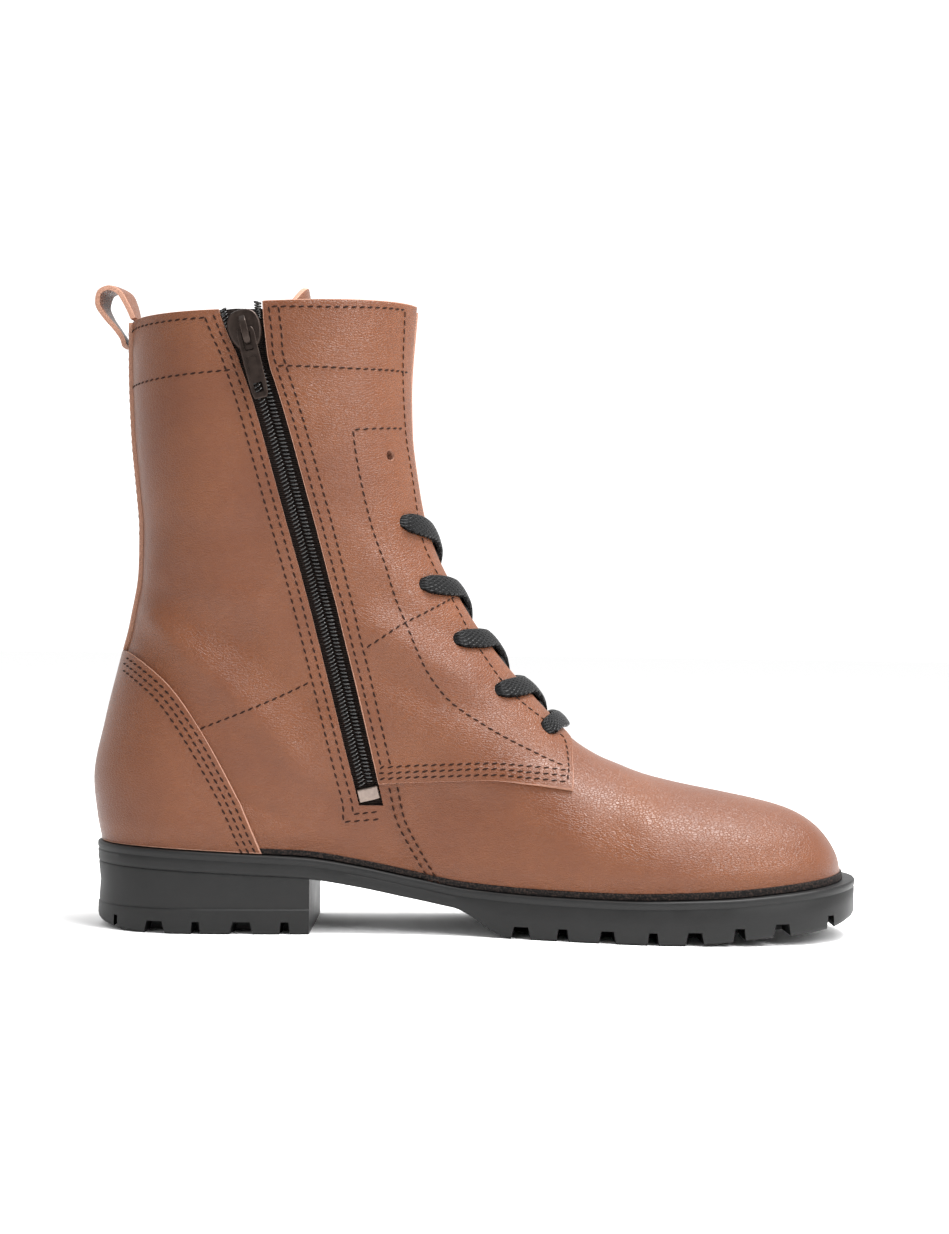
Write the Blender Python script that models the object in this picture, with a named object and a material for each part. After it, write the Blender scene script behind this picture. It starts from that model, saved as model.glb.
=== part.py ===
"""Lace-up ankle boot with a zip on its inner side, for the left foot, standing empty.

Metres, +Z up. The toe points to +X and the wearer's right, the inner side, is -Y.
The origin is on the ground under the middle of the outsole.
"""

import functools
import math

import bmesh
import bpy
import numpy as np
from mathutils import Matrix, Vector

MM = 0.001

# Lengths and heights of the boot
boot_length = 278 * MM
collar_height = 225.2 * MM
collar_fall = 7.0 * MM
collar_step = 2.4 * MM
shaft_depth = 101.3 * MM
throat_height = 70.4 * MM
throat_from_middle = 35.5 * MM
heel_hollow = 18.1 * MM

# Widths of the upper, across both sides
ball_width = 90 * MM
shaft_width = 74 * MM
toe_swing = 5.5 * MM
throat_gap = 16 * MM

# How far in from its outline the upper rounds over
vamp_rounding = 33 * MM
shin_rounding = 31 * MM
back_rounding = 36 * MM

# Sole
forefoot_thickness = 15.0 * MM
heel_rise = 15.8 * MM
toe_spring = 6.0 * MM
tread_spring = 8.5 * MM
waist_thickness = 7.4 * MM
welt_thickness = 2.8 * MM
welt_seat = 6.0 * MM
welt_at_toe = 5.6 * MM
welt_at_ball = 3.4 * MM
welt_at_heel = 3.0 * MM
heel_breast_from_middle = 57 * MM
top_piece_height = 8.7 * MM
top_piece_roll = 3.0 * MM
lug_depth = 3.8 * MM
side_lug_reach = 20 * MM
channel_width = 4.0 * MM
groove_taper = 0.72
sole_edge_round = 0.7 * MM
sole_edge_height = 1.5 * MM
heel_inset = 0.6 * MM
heel_hollow_in = 0.7 * MM

# Leather
wall = 2.2 * MM
overlay = 1.2 * MM
strip_width = 15 * MM
strap_thickness = 1.8 * MM
tongue_thickness = 2.0 * MM
tongue_half_width = 24 * MM
tongue_top = 231.5 * MM
tongue_lean = 38 * MM
insole_thickness = 3.0 * MM

# Lacing and zip
eyelet_radius = 1.6 * MM
lace_width = 5.6 * MM
lace_thickness = 1.3 * MM
tape_thickness = 0.8 * MM
tape_width = 26 * MM
coil_width = 6.6 * MM
coil_height = 2.4 * MM
slider_length = 15.0 * MM
slider_width = 12.0 * MM
slider_height = 2.0 * MM
bridge_width = 2.4 * MM
bridge_height = 2.9 * MM
bridge_bar = 0.9 * MM
bridge_length = 10.4 * MM
bridge_post = 1.8 * MM
pull_length = 24.5 * MM
pull_width = 6.2 * MM
pull_thickness = 1.3 * MM

# Clearances
seat_gap = 0.3 * MM
axle_clearance = 0.4 * MM
cutter_reach = 5.0 * MM
overlay_gap = 0.55 * MM
insole_clearance = 1.2 * MM

FEATHER = (  # where the upper meets the sole: station of the length, shares of heel rise and toe spring
    ("heel back", 0.000, 1.00, 0.00),
    ("heel seat", 0.083, 0.95, 0.00),
    ("heel middle", 0.200, 0.85, 0.00),
    ("heel breast", 0.285, 0.77, 0.00),
    ("shank top", 0.354, 0.59, 0.00),
    ("shank", 0.428, 0.33, 0.00),
    ("waist", 0.500, 0.11, 0.00),
    ("joint back", 0.590, 0.02, 0.00),
    ("ball", 0.680, 0.00, 0.00),
    ("toe base", 0.800, 0.00, 0.15),
    ("toes", 0.900, 0.00, 0.50),
    ("toe tip", 1.000, 0.00, 1.00),
)
BACK_LINE = (  # height share from seat to collar, share of the heel hollow in from the sole's back
    ("seat", 0.000, 0.330),
    ("counter low", 0.055, 0.220),
    ("counter full", 0.120, 0.150),
    ("counter high", 0.230, 0.350),
    ("counter top", 0.370, 0.690),
    ("tendon", 0.460, 0.900),
    ("hollow", 0.530, 1.000),
    ("calf low", 0.640, 0.960),
    ("calf", 0.780, 0.830),
    ("cuff", 0.900, 0.770),
    ("collar", 1.000, 0.755),
)
SHIN_LINE = (  # height share from throat to collar, share forward from the shin to the throat
    ("collar", 1.00, 0.030),
    ("cuff seam", 0.81, 0.000),
    ("shin", 0.71, 0.007),
    ("shin low", 0.60, 0.044),
    ("ankle high", 0.50, 0.096),
    ("ankle", 0.42, 0.172),
    ("bend high", 0.33, 0.296),
    ("bend", 0.24, 0.447),
    ("instep", 0.15, 0.631),
    ("instep low", 0.07, 0.820),
    ("throat", 0.00, 1.000),
)
VAMP_LINE = (  # share forward from throat to toe tip, share of the throat's height
    ("vamp back", 0.121, 0.886),
    ("vamp", 0.233, 0.812),
    ("ball", 0.400, 0.757),
    ("toe base", 0.571, 0.713),
    ("toe crown", 0.720, 0.670),
    ("toe top", 0.829, 0.622),
    ("toe round", 0.900, 0.562),
    ("toe front", 0.955, 0.477),
    ("toe low", 0.988, 0.386),
)
FOOT_WIDTHS = (  # station of the length, inner and outer half widths as shares of the ball's half width
    ("heel", 0.00, 0.690, 0.690),
    ("seat", 0.14, 0.690, 0.700),
    ("heel breast", 0.25, 0.655, 0.710),
    ("shank", 0.34, 0.600, 0.720),
    ("waist", 0.43, 0.590, 0.750),
    ("waist front", 0.50, 0.640, 0.800),
    ("joint back", 0.57, 0.760, 0.880),
    ("joint", 0.65, 0.910, 0.965),
    ("ball", 0.73, 1.000, 1.000),
    ("toe base", 0.82, 0.970, 0.970),
    ("toes", 0.91, 0.880, 0.900),
    ("toe tip", 1.00, 0.790, 0.830),
)
SHAFT_WIDTHS = (  # share of the collar's height, half width as a share of the collar's
    ("seat", 0.00, 0.80),
    ("heel", 0.24, 0.84),
    ("ankle", 0.40, 0.80),
    ("hollow", 0.52, 0.83),
    ("calf", 0.66, 0.92),
    ("cuff", 0.85, 0.99),
    ("collar", 1.00, 1.00),
)
RINGS = (  # share along the front line, height share of the same ring at the back
    ("collar", 0.00, 1.000),
    ("cuff", 0.10, 0.862),
    ("calf", 0.20, 0.715),
    ("hollow", 0.30, 0.585),
    ("ankle", 0.40, 0.480),
    ("instep", 0.50, 0.392),
    ("throat", 0.59, 0.320),
    ("vamp", 0.70, 0.235),
    ("ball", 0.80, 0.165),
    ("toes", 0.90, 0.090),
    ("feather", 1.00, 0.000),
)
EYELETS = (  # height share from throat to collar, distance behind the throat's edge in mm
    ("lowest", 0.028, 11.0),
    ("second", 0.115, 14.0),
    ("third", 0.227, 13.5),
    ("fourth", 0.351, 14.5),
    ("fifth", 0.492, 13.0),
    ("sixth", 0.645, 13.0),
)
ZIP_LINE = (  # height share of the collar, share of the length from the middle, half width of the slot in mm
    ("above collar", 1.040, -0.3000, 8.0),
    ("collar", 0.985, -0.2990, 7.8),
    ("slider", 0.941, -0.2914, 6.8),
    ("below slider", 0.901, -0.2824, 5.2),
    ("cuff", 0.838, -0.2651, 5.0),
    ("calf", 0.683, -0.2291, 5.0),
    ("ankle", 0.527, -0.1942, 4.8),
    ("instep", 0.372, -0.1619, 4.7),
    ("side", 0.263, -0.1399, 4.5),
    ("bottom", 0.203, -0.1277, 4.3),
)
COUNTER_EDGE = (  # height share from seat to collar, share of the length from the middle
    ("sole", -0.020, -0.2640),
    ("low", 0.070, -0.2900),
    ("middle", 0.150, -0.3180),
    ("high", 0.230, -0.3500),
    ("shoulder", 0.300, -0.3860),
    ("near back", 0.345, -0.4240),
    ("top", 0.372, -0.4560),
)
SKIRT_EDGE = (  # the quarter's lower edge: share of the length from the middle, share of the throat's height
    ("at the zip", -0.160, 0.748),
    ("side", -0.060, 0.775),
    ("front", 0.020, 0.785),
    ("corner low", 0.075, 0.765),
    ("corner", 0.140, 0.732),
)
HEEL_GROOVES = (  # share of the length from the middle, width in mm
    (-0.4550, 1.5),
    (-0.4014, 7.0),
    (-0.3482, 3.0),
    (-0.2903, 7.6),
    (-0.2356, 3.6),
)
TREAD_GROOVES = (  # share of the length from the middle, width in mm
    (0.0644, 6.5),
    (0.1165, 3.9),
    (0.1719, 5.4),
    (0.2281, 3.5),
    (0.2799, 6.0),
    (0.3356, 4.0),
    (0.3899, 6.0),
    (0.4554, 2.7),
)
CROSS_GROOVES = (0.0935, 0.2014, 0.3094)
channel_start, channel_end = 0.0432, 0.3885

INNER, OUTER = 1, -1
half_length = boot_length / 2
half_ball = ball_width / 2
half_shaft = shaft_width / 2
back_collar = collar_height - collar_fall
seat_height = forefoot_thickness + heel_rise
half_gap = throat_gap / 2


def column(table, place):
    return [row[place] for row in table]


def smooth(stations, values):
    """A function that runs through a table's rows without overshoot."""
    s, v = np.array(stations, float), np.array(values, float)
    step = np.diff(s)
    slope = np.diff(v) / step
    tangent = np.concatenate([slope[:1], np.zeros(len(s) - 2), slope[-1:]])
    for i in range(1, len(s) - 1):
        if slope[i - 1] * slope[i] > 0:
            before, after = 2 * step[i] + step[i - 1], step[i] + 2 * step[i - 1]
            tangent[i] = (before + after) / (before / slope[i - 1] + after / slope[i])

    def value(at):
        at = np.clip(at, s[0], s[-1])
        i = np.clip(np.searchsorted(s, at) - 1, 0, len(s) - 2)
        t = (at - s[i]) / step[i]
        ends = (1 + 2 * t) * (1 - t) ** 2 * v[i] + t * t * (3 - 2 * t) * v[i + 1]
        return ends + t * (1 - t) * step[i] * ((1 - t) * tangent[i] - t * tangent[i + 1])

    return value


def ramp(value, low, high):
    t = np.clip((value - low) / (high - low), 0, 1)
    return t * t * (3 - 2 * t)


def between(a, b, share):
    return a + (b - a) * share


feather_rise = smooth(column(FEATHER, 1), column(FEATHER, 2))
feather_spring = smooth(column(FEATHER, 1), column(FEATHER, 3))
back_inset = smooth(column(BACK_LINE, 1), column(BACK_LINE, 2))
inner_width = smooth(column(FOOT_WIDTHS, 1), column(FOOT_WIDTHS, 2))
outer_width = smooth(column(FOOT_WIDTHS, 1), column(FOOT_WIDTHS, 3))
shaft_share = smooth(column(SHAFT_WIDTHS, 1), column(SHAFT_WIDTHS, 2))
ring_at_back = smooth(column(RINGS, 1), column(RINGS, 2))


def feather(x):
    """Height of the sole's top edge."""
    station = (x + half_length) / boot_length
    return forefoot_thickness + heel_rise * feather_rise(station) + toe_spring * feather_spring(station)


def back_x(z):
    return heel_hollow * back_inset((z - seat_height) / (back_collar - seat_height)) - half_length


def front_points():
    """The boot's front outline from the collar down the shin and over the vamp to the toe tip."""
    shin = back_x(back_collar) + shaft_depth
    toe = half_length - welt_at_toe
    rise = collar_height - throat_height
    points = [
        (between(shin, throat_from_middle, forward), throat_height + rise * up)
        for _, up, forward in SHIN_LINE
    ]
    points += [
        (between(throat_from_middle, toe, forward), throat_height * up) for _, forward, up in VAMP_LINE
    ]
    return np.array(points + [(toe, feather(toe) + seat_gap)])


front_rows = front_points()
front_run = np.concatenate([[0], np.cumsum(np.hypot(*np.diff(front_rows, axis=0).T))])
front_share = front_run / front_run[-1]
throat_share = front_share[len(SHIN_LINE) - 1]
front_x_of = smooth(front_share, front_rows[:, 0])
front_z_of = smooth(front_share, front_rows[:, 1])
line_steps = np.linspace(0, 1, 161)
line_x, line_z = front_x_of(line_steps), front_z_of(line_steps)


def top_line():
    """The front outline as far as the toe's crown, run straight on from there."""
    crown = len(SHIN_LINE) + column(VAMP_LINE, 0).index("toe crown")
    kept = line_steps <= front_share[crown]
    x, z = line_x[kept], line_z[kept]
    fall = (z[-1] - z[-4]) / (x[-1] - x[-4])
    return np.append(x, x[-1] + half_ball), np.append(z, z[-1] + fall * half_ball)


top_x, top_z = top_line()


def distance_to_top(x, z):
    """Distance in the side view from points to the top line."""
    start = np.stack([top_x[:-1], top_z[:-1]], -1)
    run = np.stack([np.diff(top_x), np.diff(top_z)], -1)
    point = np.stack([x, z], -1)[..., None, :] - start
    t = np.clip((point * run).sum(-1) / (run * run).sum(-1), 0, 1)
    return np.linalg.norm(point - t[..., None] * run, axis=-1).min(-1)


def rounded(share, power=2.12):
    """Quarter of a superellipse: 0 at the outline, 1 from share 1 on."""
    return (1 - (1 - np.clip(share, 0, 1)) ** power) ** (1 / power)


def half_width(x, z, side):
    """Distance of the upper's skin from its middle plane at a point of the side view."""
    station = (x + half_length) / boot_length
    foot = half_ball * np.where(side == INNER, inner_width(station), outer_width(station))
    shaft = half_shaft * shaft_share(z / collar_height)
    up = ramp(z, seat_height, throat_height + heel_rise + seat_height)
    tuck = 1 - 0.045 * (1 - ramp(z - feather(x), 0, 0.6 * forefoot_thickness))
    ahead = np.maximum(np.interp(-z, -line_z, line_x) - x, 1e-9)
    above = np.maximum(distance_to_top(x, z), 1e-9)
    to_front = 1 / np.sqrt(ahead**-2.0 + above**-2.0)
    rounding = between(vamp_rounding, shin_rounding, ramp(z, throat_height, collar_height / 2))
    to_back = (x - back_x(z)) / back_rounding
    return between(foot, shaft, up) * tuck * rounded(to_front / rounding) * rounded(to_back)


def swing(x):
    """Sideways place of the middle plane: the toe turns to the inner side."""
    return -toe_swing * ramp(x, throat_from_middle, half_length)


def ring_side_view(v, share):
    """Side-view point on ring v, at a share of the way from its back end to its front end."""
    back_z = seat_height + seat_gap + (back_collar - seat_height - seat_gap) * ring_at_back(v)
    x0, x1 = back_x(back_z), front_x_of(v)
    x = between(x0, x1, share)
    straight = between(back_z, front_z_of(v), share)
    sag = feather(x) - between(feather(x0), feather(x1), share)
    zip_x = boot_length * ZIP_LINE[1][2]
    step = (ramp(x, zip_x - 0.008, zip_x + 0.008) - share) * (1 - ramp(v, 0, 0.08))
    return x, straight + sag * ramp(v, 0.42, 0.98) + collar_step * step


def ring_point(v, angle):
    """Point on the skin. Angle 0 is the back seam, +pi/2 the inner side, pi the front."""
    x, z = ring_side_view(v, (1 - np.cos(angle)) / 2)
    inner = np.sin(angle) >= 0
    width = np.where(inner, half_width(x, z, INNER), half_width(x, z, OUTER))
    return np.stack([x, swing(x) + np.where(inner, -width, width), z], -1)


def skin(v, angle, offset=0.0):
    """Points of the skin, moved outwards by an offset."""
    v, angle = np.broadcast_arrays(np.asarray(v, float), np.asarray(angle, float))
    step_v, step_a = 2e-3, 4e-3
    down = ring_point(np.clip(v + step_v, 0, 1), angle) - ring_point(np.clip(v - step_v, 0, 1), angle)
    round_ = ring_point(v, angle + step_a) - ring_point(v, angle - step_a)
    normal = np.cross(down, round_)
    normal /= np.linalg.norm(normal, axis=-1, keepdims=True)
    return ring_point(v, angle) + np.asarray(offset)[..., None] * normal, normal


def halved(low, high, below):
    """The value between low and high where the test stops holding."""
    for _ in range(24):
        middle = (low + high) / 2
        if below(middle):
            low = middle
        else:
            high = middle
    return (low + high) / 2


def locate(x, z, side=INNER):
    """Ring and angle of a side-view point."""

    def above(v):
        x0, x1 = ring_side_view(v, 0.0)[0], ring_side_view(v, 1.0)[0]
        return ring_side_view(v, np.clip((x - x0) / (x1 - x0), 0, 1))[1] > z

    v = halved(0.0, 1.0, above)
    x0, x1 = ring_side_view(v, 0.0)[0], ring_side_view(v, 1.0)[0]
    return v, side * math.acos(1 - 2 * float(np.clip((x - x0) / (x1 - x0), 0, 1)))


def angle_at_gap(v, gap):
    """Angle on ring v where the skin is that far from the middle plane, near the front."""

    def outside(angle):
        x, z = ring_side_view(v, (1 - math.cos(angle)) / 2)
        return half_width(x, z, INNER) > gap

    return halved(math.pi * 0.55, math.pi, outside)


def angle_at_x(v, x):
    x0, x1 = ring_side_view(v, 0.0)[0], ring_side_view(v, 1.0)[0]
    return math.acos(1 - 2 * float(np.clip((x - x0) / (x1 - x0), 0, 1)))


def angle_at_line(v, stations, places, from_back):
    """Angle on ring v where it meets a line of the side view, given as heights and x places."""
    line = smooth(stations, places)

    def behind(angle):
        x, z = ring_side_view(v, (1 - math.cos(angle)) / 2)
        return (x < line(z)) == from_back

    return halved(0.0, math.pi, behind) if from_back else halved(math.pi, 0.0, behind)


# Meshes

def new_object(name, mesh, colour, roughness=0.6, metallic=0.0):
    material = bpy.data.materials.new(name)
    material.use_nodes = True
    shader = material.node_tree.nodes["Principled BSDF"]
    shader.inputs["Base Color"].default_value = (*colour, 1)
    shader.inputs["Roughness"].default_value = roughness
    shader.inputs["Metallic"].default_value = metallic
    mesh.materials.append(material)
    mesh.shade_smooth()
    mesh.set_sharp_from_angle(angle=math.radians(35))
    made = bpy.data.objects.new(name, mesh)
    bpy.context.scene.collection.objects.link(made)
    return made


def mesh_of(name, bm):
    bmesh.ops.recalc_face_normals(bm, faces=bm.faces)
    mesh = bpy.data.meshes.new(name)
    bm.to_mesh(mesh)
    bm.free()
    return mesh


def shell(name, outer, inner, wrap=False, open_cell=None):
    """Closed solid between two grids of points. Cells for which open_cell(i, j) holds are left out."""
    rows, columns = outer.shape[:2]
    bm = bmesh.new()
    sheets = [[[bm.verts.new(p) for p in row] for row in grid] for grid in (outer, inner)]
    rim = {}
    for i in range(rows - 1):
        for j in range(columns if wrap else columns - 1):
            if open_cell and open_cell(i, j):
                continue
            k = (j + 1) % columns
            corners = ((i, j), (i, k), (i + 1, k), (i + 1, j))
            for sheet in sheets:
                bm.faces.new([sheet[a][b] for a, b in corners])
            for a, b in zip(corners, corners[1:] + corners[:1]):
                rim[frozenset((a, b))] = None if frozenset((a, b)) in rim else (a, b)
    for a, b in filter(None, rim.values()):
        (i, j), (k, m) = a, b
        bm.faces.new([sheets[0][i][j], sheets[0][k][m], sheets[1][k][m], sheets[1][i][j]])
    loose = [v for v in bm.verts if not v.link_faces]
    bmesh.ops.delete(bm, geom=loose, context="VERTS")
    return mesh_of(name, bm)


def tube(name, sections):
    """Closed solid through sections with the same number of points, with flat ends."""
    bm = bmesh.new()
    loops = [[bm.verts.new(p) for p in section] for section in sections]
    for one, two in zip(loops, loops[1:]):
        for a in range(len(one)):
            b = (a + 1) % len(one)
            bm.faces.new([one[a], one[b], two[b], two[a]])
    bm.faces.new(loops[0])
    bm.faces.new(loops[-1])
    return mesh_of(name, bm)


def ribbon(name, path, across, normals, width, thickness):
    """Flat strap along a path. Its lower face is on the path."""
    sections = []
    for point, side, up in zip(path, across, normals):
        low = [point - side * width / 2, point + side * width / 2]
        sections.append([*low, low[1] + up * thickness, low[0] + up * thickness])
    return tube(name, sections)


def cut(target, cutters):
    for cutter in cutters:
        cutter.hide_render = True
        cutter.display_type = "WIRE"
        modifier = target.modifiers.new(cutter.name, "BOOLEAN")
        modifier.operation = "DIFFERENCE"
        modifier.object = cutter


def join(target, others):
    for other in others:
        other.hide_render = True
        other.display_type = "WIRE"
        modifier = target.modifiers.new(other.name, "BOOLEAN")
        modifier.operation = "UNION"
        modifier.object = other


def helper(name, mesh):
    made = bpy.data.objects.new(name, mesh)
    bpy.context.scene.collection.objects.link(made)
    return made


LEATHER = (0.36, 0.17, 0.10)
LINING = (0.45, 0.30, 0.22)
RUBBER = (0.045, 0.045, 0.047)
BLACK = (0.02, 0.02, 0.022)
GUNMETAL = (0.10, 0.09, 0.085)
STEEL = (0.55, 0.50, 0.47)


# The upper and what is cut from its own form

side_columns = 16
throat_row = 12
vamp_rows = 13


def ring_rows():
    above = np.linspace(0, throat_share, throat_row + 1)
    below = throat_share + (1 - throat_share) * np.linspace(0, 1, vamp_rows + 1)[1:] ** 1.2
    return np.concatenate([above, below])


def upper_angles(v):
    """Angles once round ring v, with columns along both edges of the throat."""
    edge = angle_at_gap(v, half_gap)
    side = edge * np.linspace(0, 1, side_columns + 1)
    middle = between(edge, math.pi, 0.5)
    return np.concatenate([side, [middle, math.pi, -middle], -side[:0:-1]])


def make_upper():
    rows = ring_rows()
    angles = np.array([upper_angles(v) for v in rows])
    levels = np.repeat(rows[:, None], angles.shape[1], 1)

    def in_throat(i, j):
        return i < throat_row and side_columns <= j < side_columns + 4

    mesh = shell("upper", skin(levels, angles)[0], skin(levels, angles, -wall)[0], True, in_throat)
    return new_object("upper", mesh, LEATHER, 0.45)


def slot_edge(z, side):
    """x of the zip slot's rear (-1) or front (+1) edge at a height."""
    share = z / collar_height
    rows = ZIP_LINE[::-1]
    middle = smooth(column(rows, 1), column(rows, 2))(share) * boot_length
    return middle + side * smooth(column(rows, 1), column(rows, 3))(share) * MM


def zip_slot_cutter():
    heights = np.linspace(ZIP_LINE[-1][1], ZIP_LINE[0][1], 15) * collar_height
    sections = []
    for z in heights:
        rear, front = slot_edge(z, -1), slot_edge(z, 1)
        inside, outside = -half_shaft * 0.35, -half_shaft * 1.6
        sections.append([(rear, inside, z), (front, inside, z), (front, outside, z), (rear, outside, z)])
    return helper("zip_slot_cutter", tube("zip_slot_cutter", sections))


def eyelet_places():
    """Ring and angle of each eyelet on the inner side, lowest first."""
    places = []
    for _, up, behind in EYELETS:
        z = throat_height + (collar_height - throat_height) * up
        v = halved(0.0, throat_share, lambda t: front_z_of(t) > z)
        edge = angle_at_gap(v, half_gap)
        near = ring_point(v, edge)
        angle = halved(
            math.pi / 2,
            edge,
            lambda a: np.linalg.norm(ring_point(v, a) - near) > behind * MM,
        )
        places.append((v, angle))
    return places


def eyelet_cutter(name, v, angle):
    centre, normal = skin(v, angle)
    bm = bmesh.new()
    turn = Vector(normal).to_track_quat("Z", "Y").to_matrix().to_4x4()
    bmesh.ops.create_cone(
        bm,
        cap_ends=True,
        segments=8,
        radius1=eyelet_radius,
        radius2=eyelet_radius,
        depth=6 * (wall + overlay),
        matrix=Matrix.Translation(Vector(centre)) @ turn,
    )
    return helper(name, mesh_of(name, bm))


def quarter_patch(side, rows=15, columns=13):
    """Rings and angles of the front quarter, from collar to skirt and from zip to throat."""
    rear_z = np.linspace(ZIP_LINE[-1][1], ZIP_LINE[0][1], 24) * collar_height
    rear_x = [slot_edge(z, 1) for z in rear_z]
    places, heights = np.array(column(SKIRT_EDGE, 1)), np.array(column(SKIRT_EDGE, 2))
    skirt = smooth(places * boot_length, heights * throat_height)

    samples = np.linspace(0, 1, 33)
    rears = smooth(samples, [angle_at_line(v, rear_z, rear_x, True) for v in samples])
    gaps = smooth(samples, [angle_at_gap(v, half_gap) for v in samples])

    def edges(v):
        return rears(v), min(gaps(v), angle_at_x(v, throat_from_middle))

    def bottom(t):
        def over(v):
            rear, front = edges(v)
            x, z = ring_side_view(v, (1 - math.cos(between(rear, front, t))) / 2)
            return z > skirt(x)

        return halved(0.0, 1.0, over)

    shares = 1 - np.linspace(1, 0, columns) ** 1.15
    lows = [bottom(t) for t in shares]
    levels = np.array([[low * s for low in lows] for s in np.linspace(0, 1, rows)])
    angles = np.array([[between(*edges(v), t) for v, t in zip(row, shares)] for row in levels])
    return levels, side * angles


def overlay_shell(name, levels, angles, lift=0.0, thickness=overlay):
    low, high = overlay_gap + lift, overlay_gap + lift + thickness
    mesh = shell(name, skin(levels, angles, high)[0], skin(levels, angles, low)[0])
    return new_object(name, mesh, LEATHER, 0.45)


def make_counter(rows=13, columns=23):
    heights = seat_height + (back_collar - seat_height) * np.array(column(COUNTER_EDGE, 1))
    places = boot_length * np.array(column(COUNTER_EDGE, 2))
    top = locate(places[-1], heights[-1] - overlay)[0]
    levels, angles = [], []
    for share in np.linspace(0, 1, rows):
        v = between(top, 1.0, 0.4 * share + 0.6 * share**2)
        edge = angle_at_line(v, heights, places, True)
        levels.append(np.full(columns, v))
        angles.append(edge * np.linspace(1, -1, columns))
    return overlay_shell("heel_counter", np.array(levels), np.array(angles))


def make_back_strip(rows=11):
    """Strip over the back seam, from the counter to the collar."""
    foot = seat_height + (back_collar - seat_height) * COUNTER_EDGE[-1][1] + 2 * overlay
    low = locate(back_x(foot), foot)[0]
    levels, angles = [], []
    for v in np.linspace(0, low, rows):
        edge = halved(0.0, math.pi / 2, lambda a: abs(ring_point(v, a)[1]) < strip_width / 2)
        levels.append(np.full(5, v))
        angles.append(edge * np.linspace(1, -1, 5))
    return overlay_shell("back_strip", np.array(levels), np.array(angles))


def make_tongue(rows=13, columns=9):
    """Tongue under the throat. Above the laces it leans back into the open shaft."""
    low = locate(throat_from_middle + 0.35 * tongue_half_width, throat_height * 0.9)[0]
    under = wall + 2 * seat_gap
    grids = []
    for depth in (under, under + tongue_thickness):
        grid = []
        for share in np.linspace(0, 1, rows):
            v = between(low, 0.0, share)
            edge = angle_at_gap(v, tongue_half_width)
            half = np.linspace(edge, math.pi, columns // 2 + 1)
            angles = np.concatenate([half, -half[-2::-1]])
            points = skin(np.full(columns, v), angles, -depth)[0]
            side = np.linspace(-1, 1, columns)
            rise = (tongue_top - collar_height) * (1 - 1.9 * side**2) * ramp(share, 0.55, 1)
            points[:, 2] += rise
            points[:, 0] -= tongue_lean * ramp(share, 0.62, 1.04)
            grid.append(points)
        grids.append(np.array(grid))
    return new_object("tongue", shell("tongue", grids[0], grids[1]), LEATHER, 0.5)


def make_pull_loop():
    """Leather loop sewn in at the top of the back strip."""
    outside = overlay + 2 * seat_gap
    foot = np.array([back_x(back_collar) - outside, 0.0, back_collar])
    route = (  # share of the loop's height above the collar, distance behind its foot in mm
        (-0.66, 0.1),
        (-0.45, 0.8),
        (-0.10, 3.6),
        (0.25, 6.9),
        (0.60, 9.0),
        (0.90, 8.2),
        (1.00, 5.4),
        (0.90, 2.6),
        (0.62, 0.6),
        (0.30, -0.9),
        (0.13, -1.5),
    )
    loop_height = 12 * MM
    turn = math.radians(14)
    steps = np.linspace(0, 1, 23)
    stations = np.linspace(0, 1, len(route))
    rise = smooth(stations, column(route, 0))(steps) * loop_height
    behind = smooth(stations, column(route, 1))(steps) * MM
    line = np.stack([foot[0] - behind, rise], -1)
    tangent = np.gradient(line, axis=0)
    tangent /= np.linalg.norm(tangent, axis=1, keepdims=True)
    path, across, normals = [], [], []
    for (x, up), (tx, tz) in zip(line, tangent):
        twist = turn * ramp(up, -0.3 * loop_height, loop_height)
        path.append(Vector((x, 0, foot[2] + up)))
        across.append(Vector((math.sin(twist), math.cos(twist), 0)))
        normals.append(Vector((-tz, 0, tx)).normalized())
    mesh = ribbon("pull_loop", path, across, normals, 0.8 * strip_width, strap_thickness)
    return new_object("pull_loop", mesh, LEATHER, 0.5)


# The sole

def welt_reach(x):
    """How far the sole stands out from the upper."""
    station = (x + half_length) / boot_length
    return smooth((0, 0.3, 0.72, 1), (welt_at_heel, 0.8 * welt_at_heel, welt_at_ball, welt_at_toe))(station)


footprint_angles = np.linspace(0, math.pi, 121)
footprint = {side: ring_point(1.0, side * footprint_angles)[:, :2] for side in (INNER, OUTER)}


@functools.cache
def outline(offset, reach=1.0):
    """Back, toe and both edges of the sole in plan, offset from the upper's footprint."""
    edges = []
    for side in (INNER, OUTER):
        line = footprint[side]
        tangent = np.gradient(line, axis=0)
        normal = np.stack([tangent[:, 1], -tangent[:, 0]], -1) * side
        normal /= np.linalg.norm(normal, axis=1, keepdims=True)
        normal[0], normal[-1] = (-1, 0), (1, 0)
        out = offset + reach * welt_reach(line[:, 0])
        edges.append(line + normal * out[:, None])
    back = edges[0][0, 0]
    toe = edges[0][-1, 0]
    return back, toe, edges


def plan(x, offset, reach=1.0):
    """y of the inner and outer edge of the outline at x."""
    _, _, edges = outline(offset, reach)
    return [float(np.interp(x, edge[:, 0], edge[:, 1])) for edge in edges]


def stations(back, toe, extra=()):
    """x stations along the sole: close together at both rounded ends."""
    middle = np.linspace(back + 0.03, toe - 0.035, 21)
    ends = 1 - np.cos(np.linspace(0, math.pi / 2, 8))
    heel = back + 0.03 * ends[:-1]
    tip = toe - 0.035 * ends[:-1]
    every = np.unique(np.round(np.concatenate([heel, middle, tip, np.array(extra)]), 6))
    kept = [every[0]]
    for x in every[1:]:
        if x - kept[-1] > 0.0002:
            kept.append(x)
    return np.array(kept)


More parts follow.
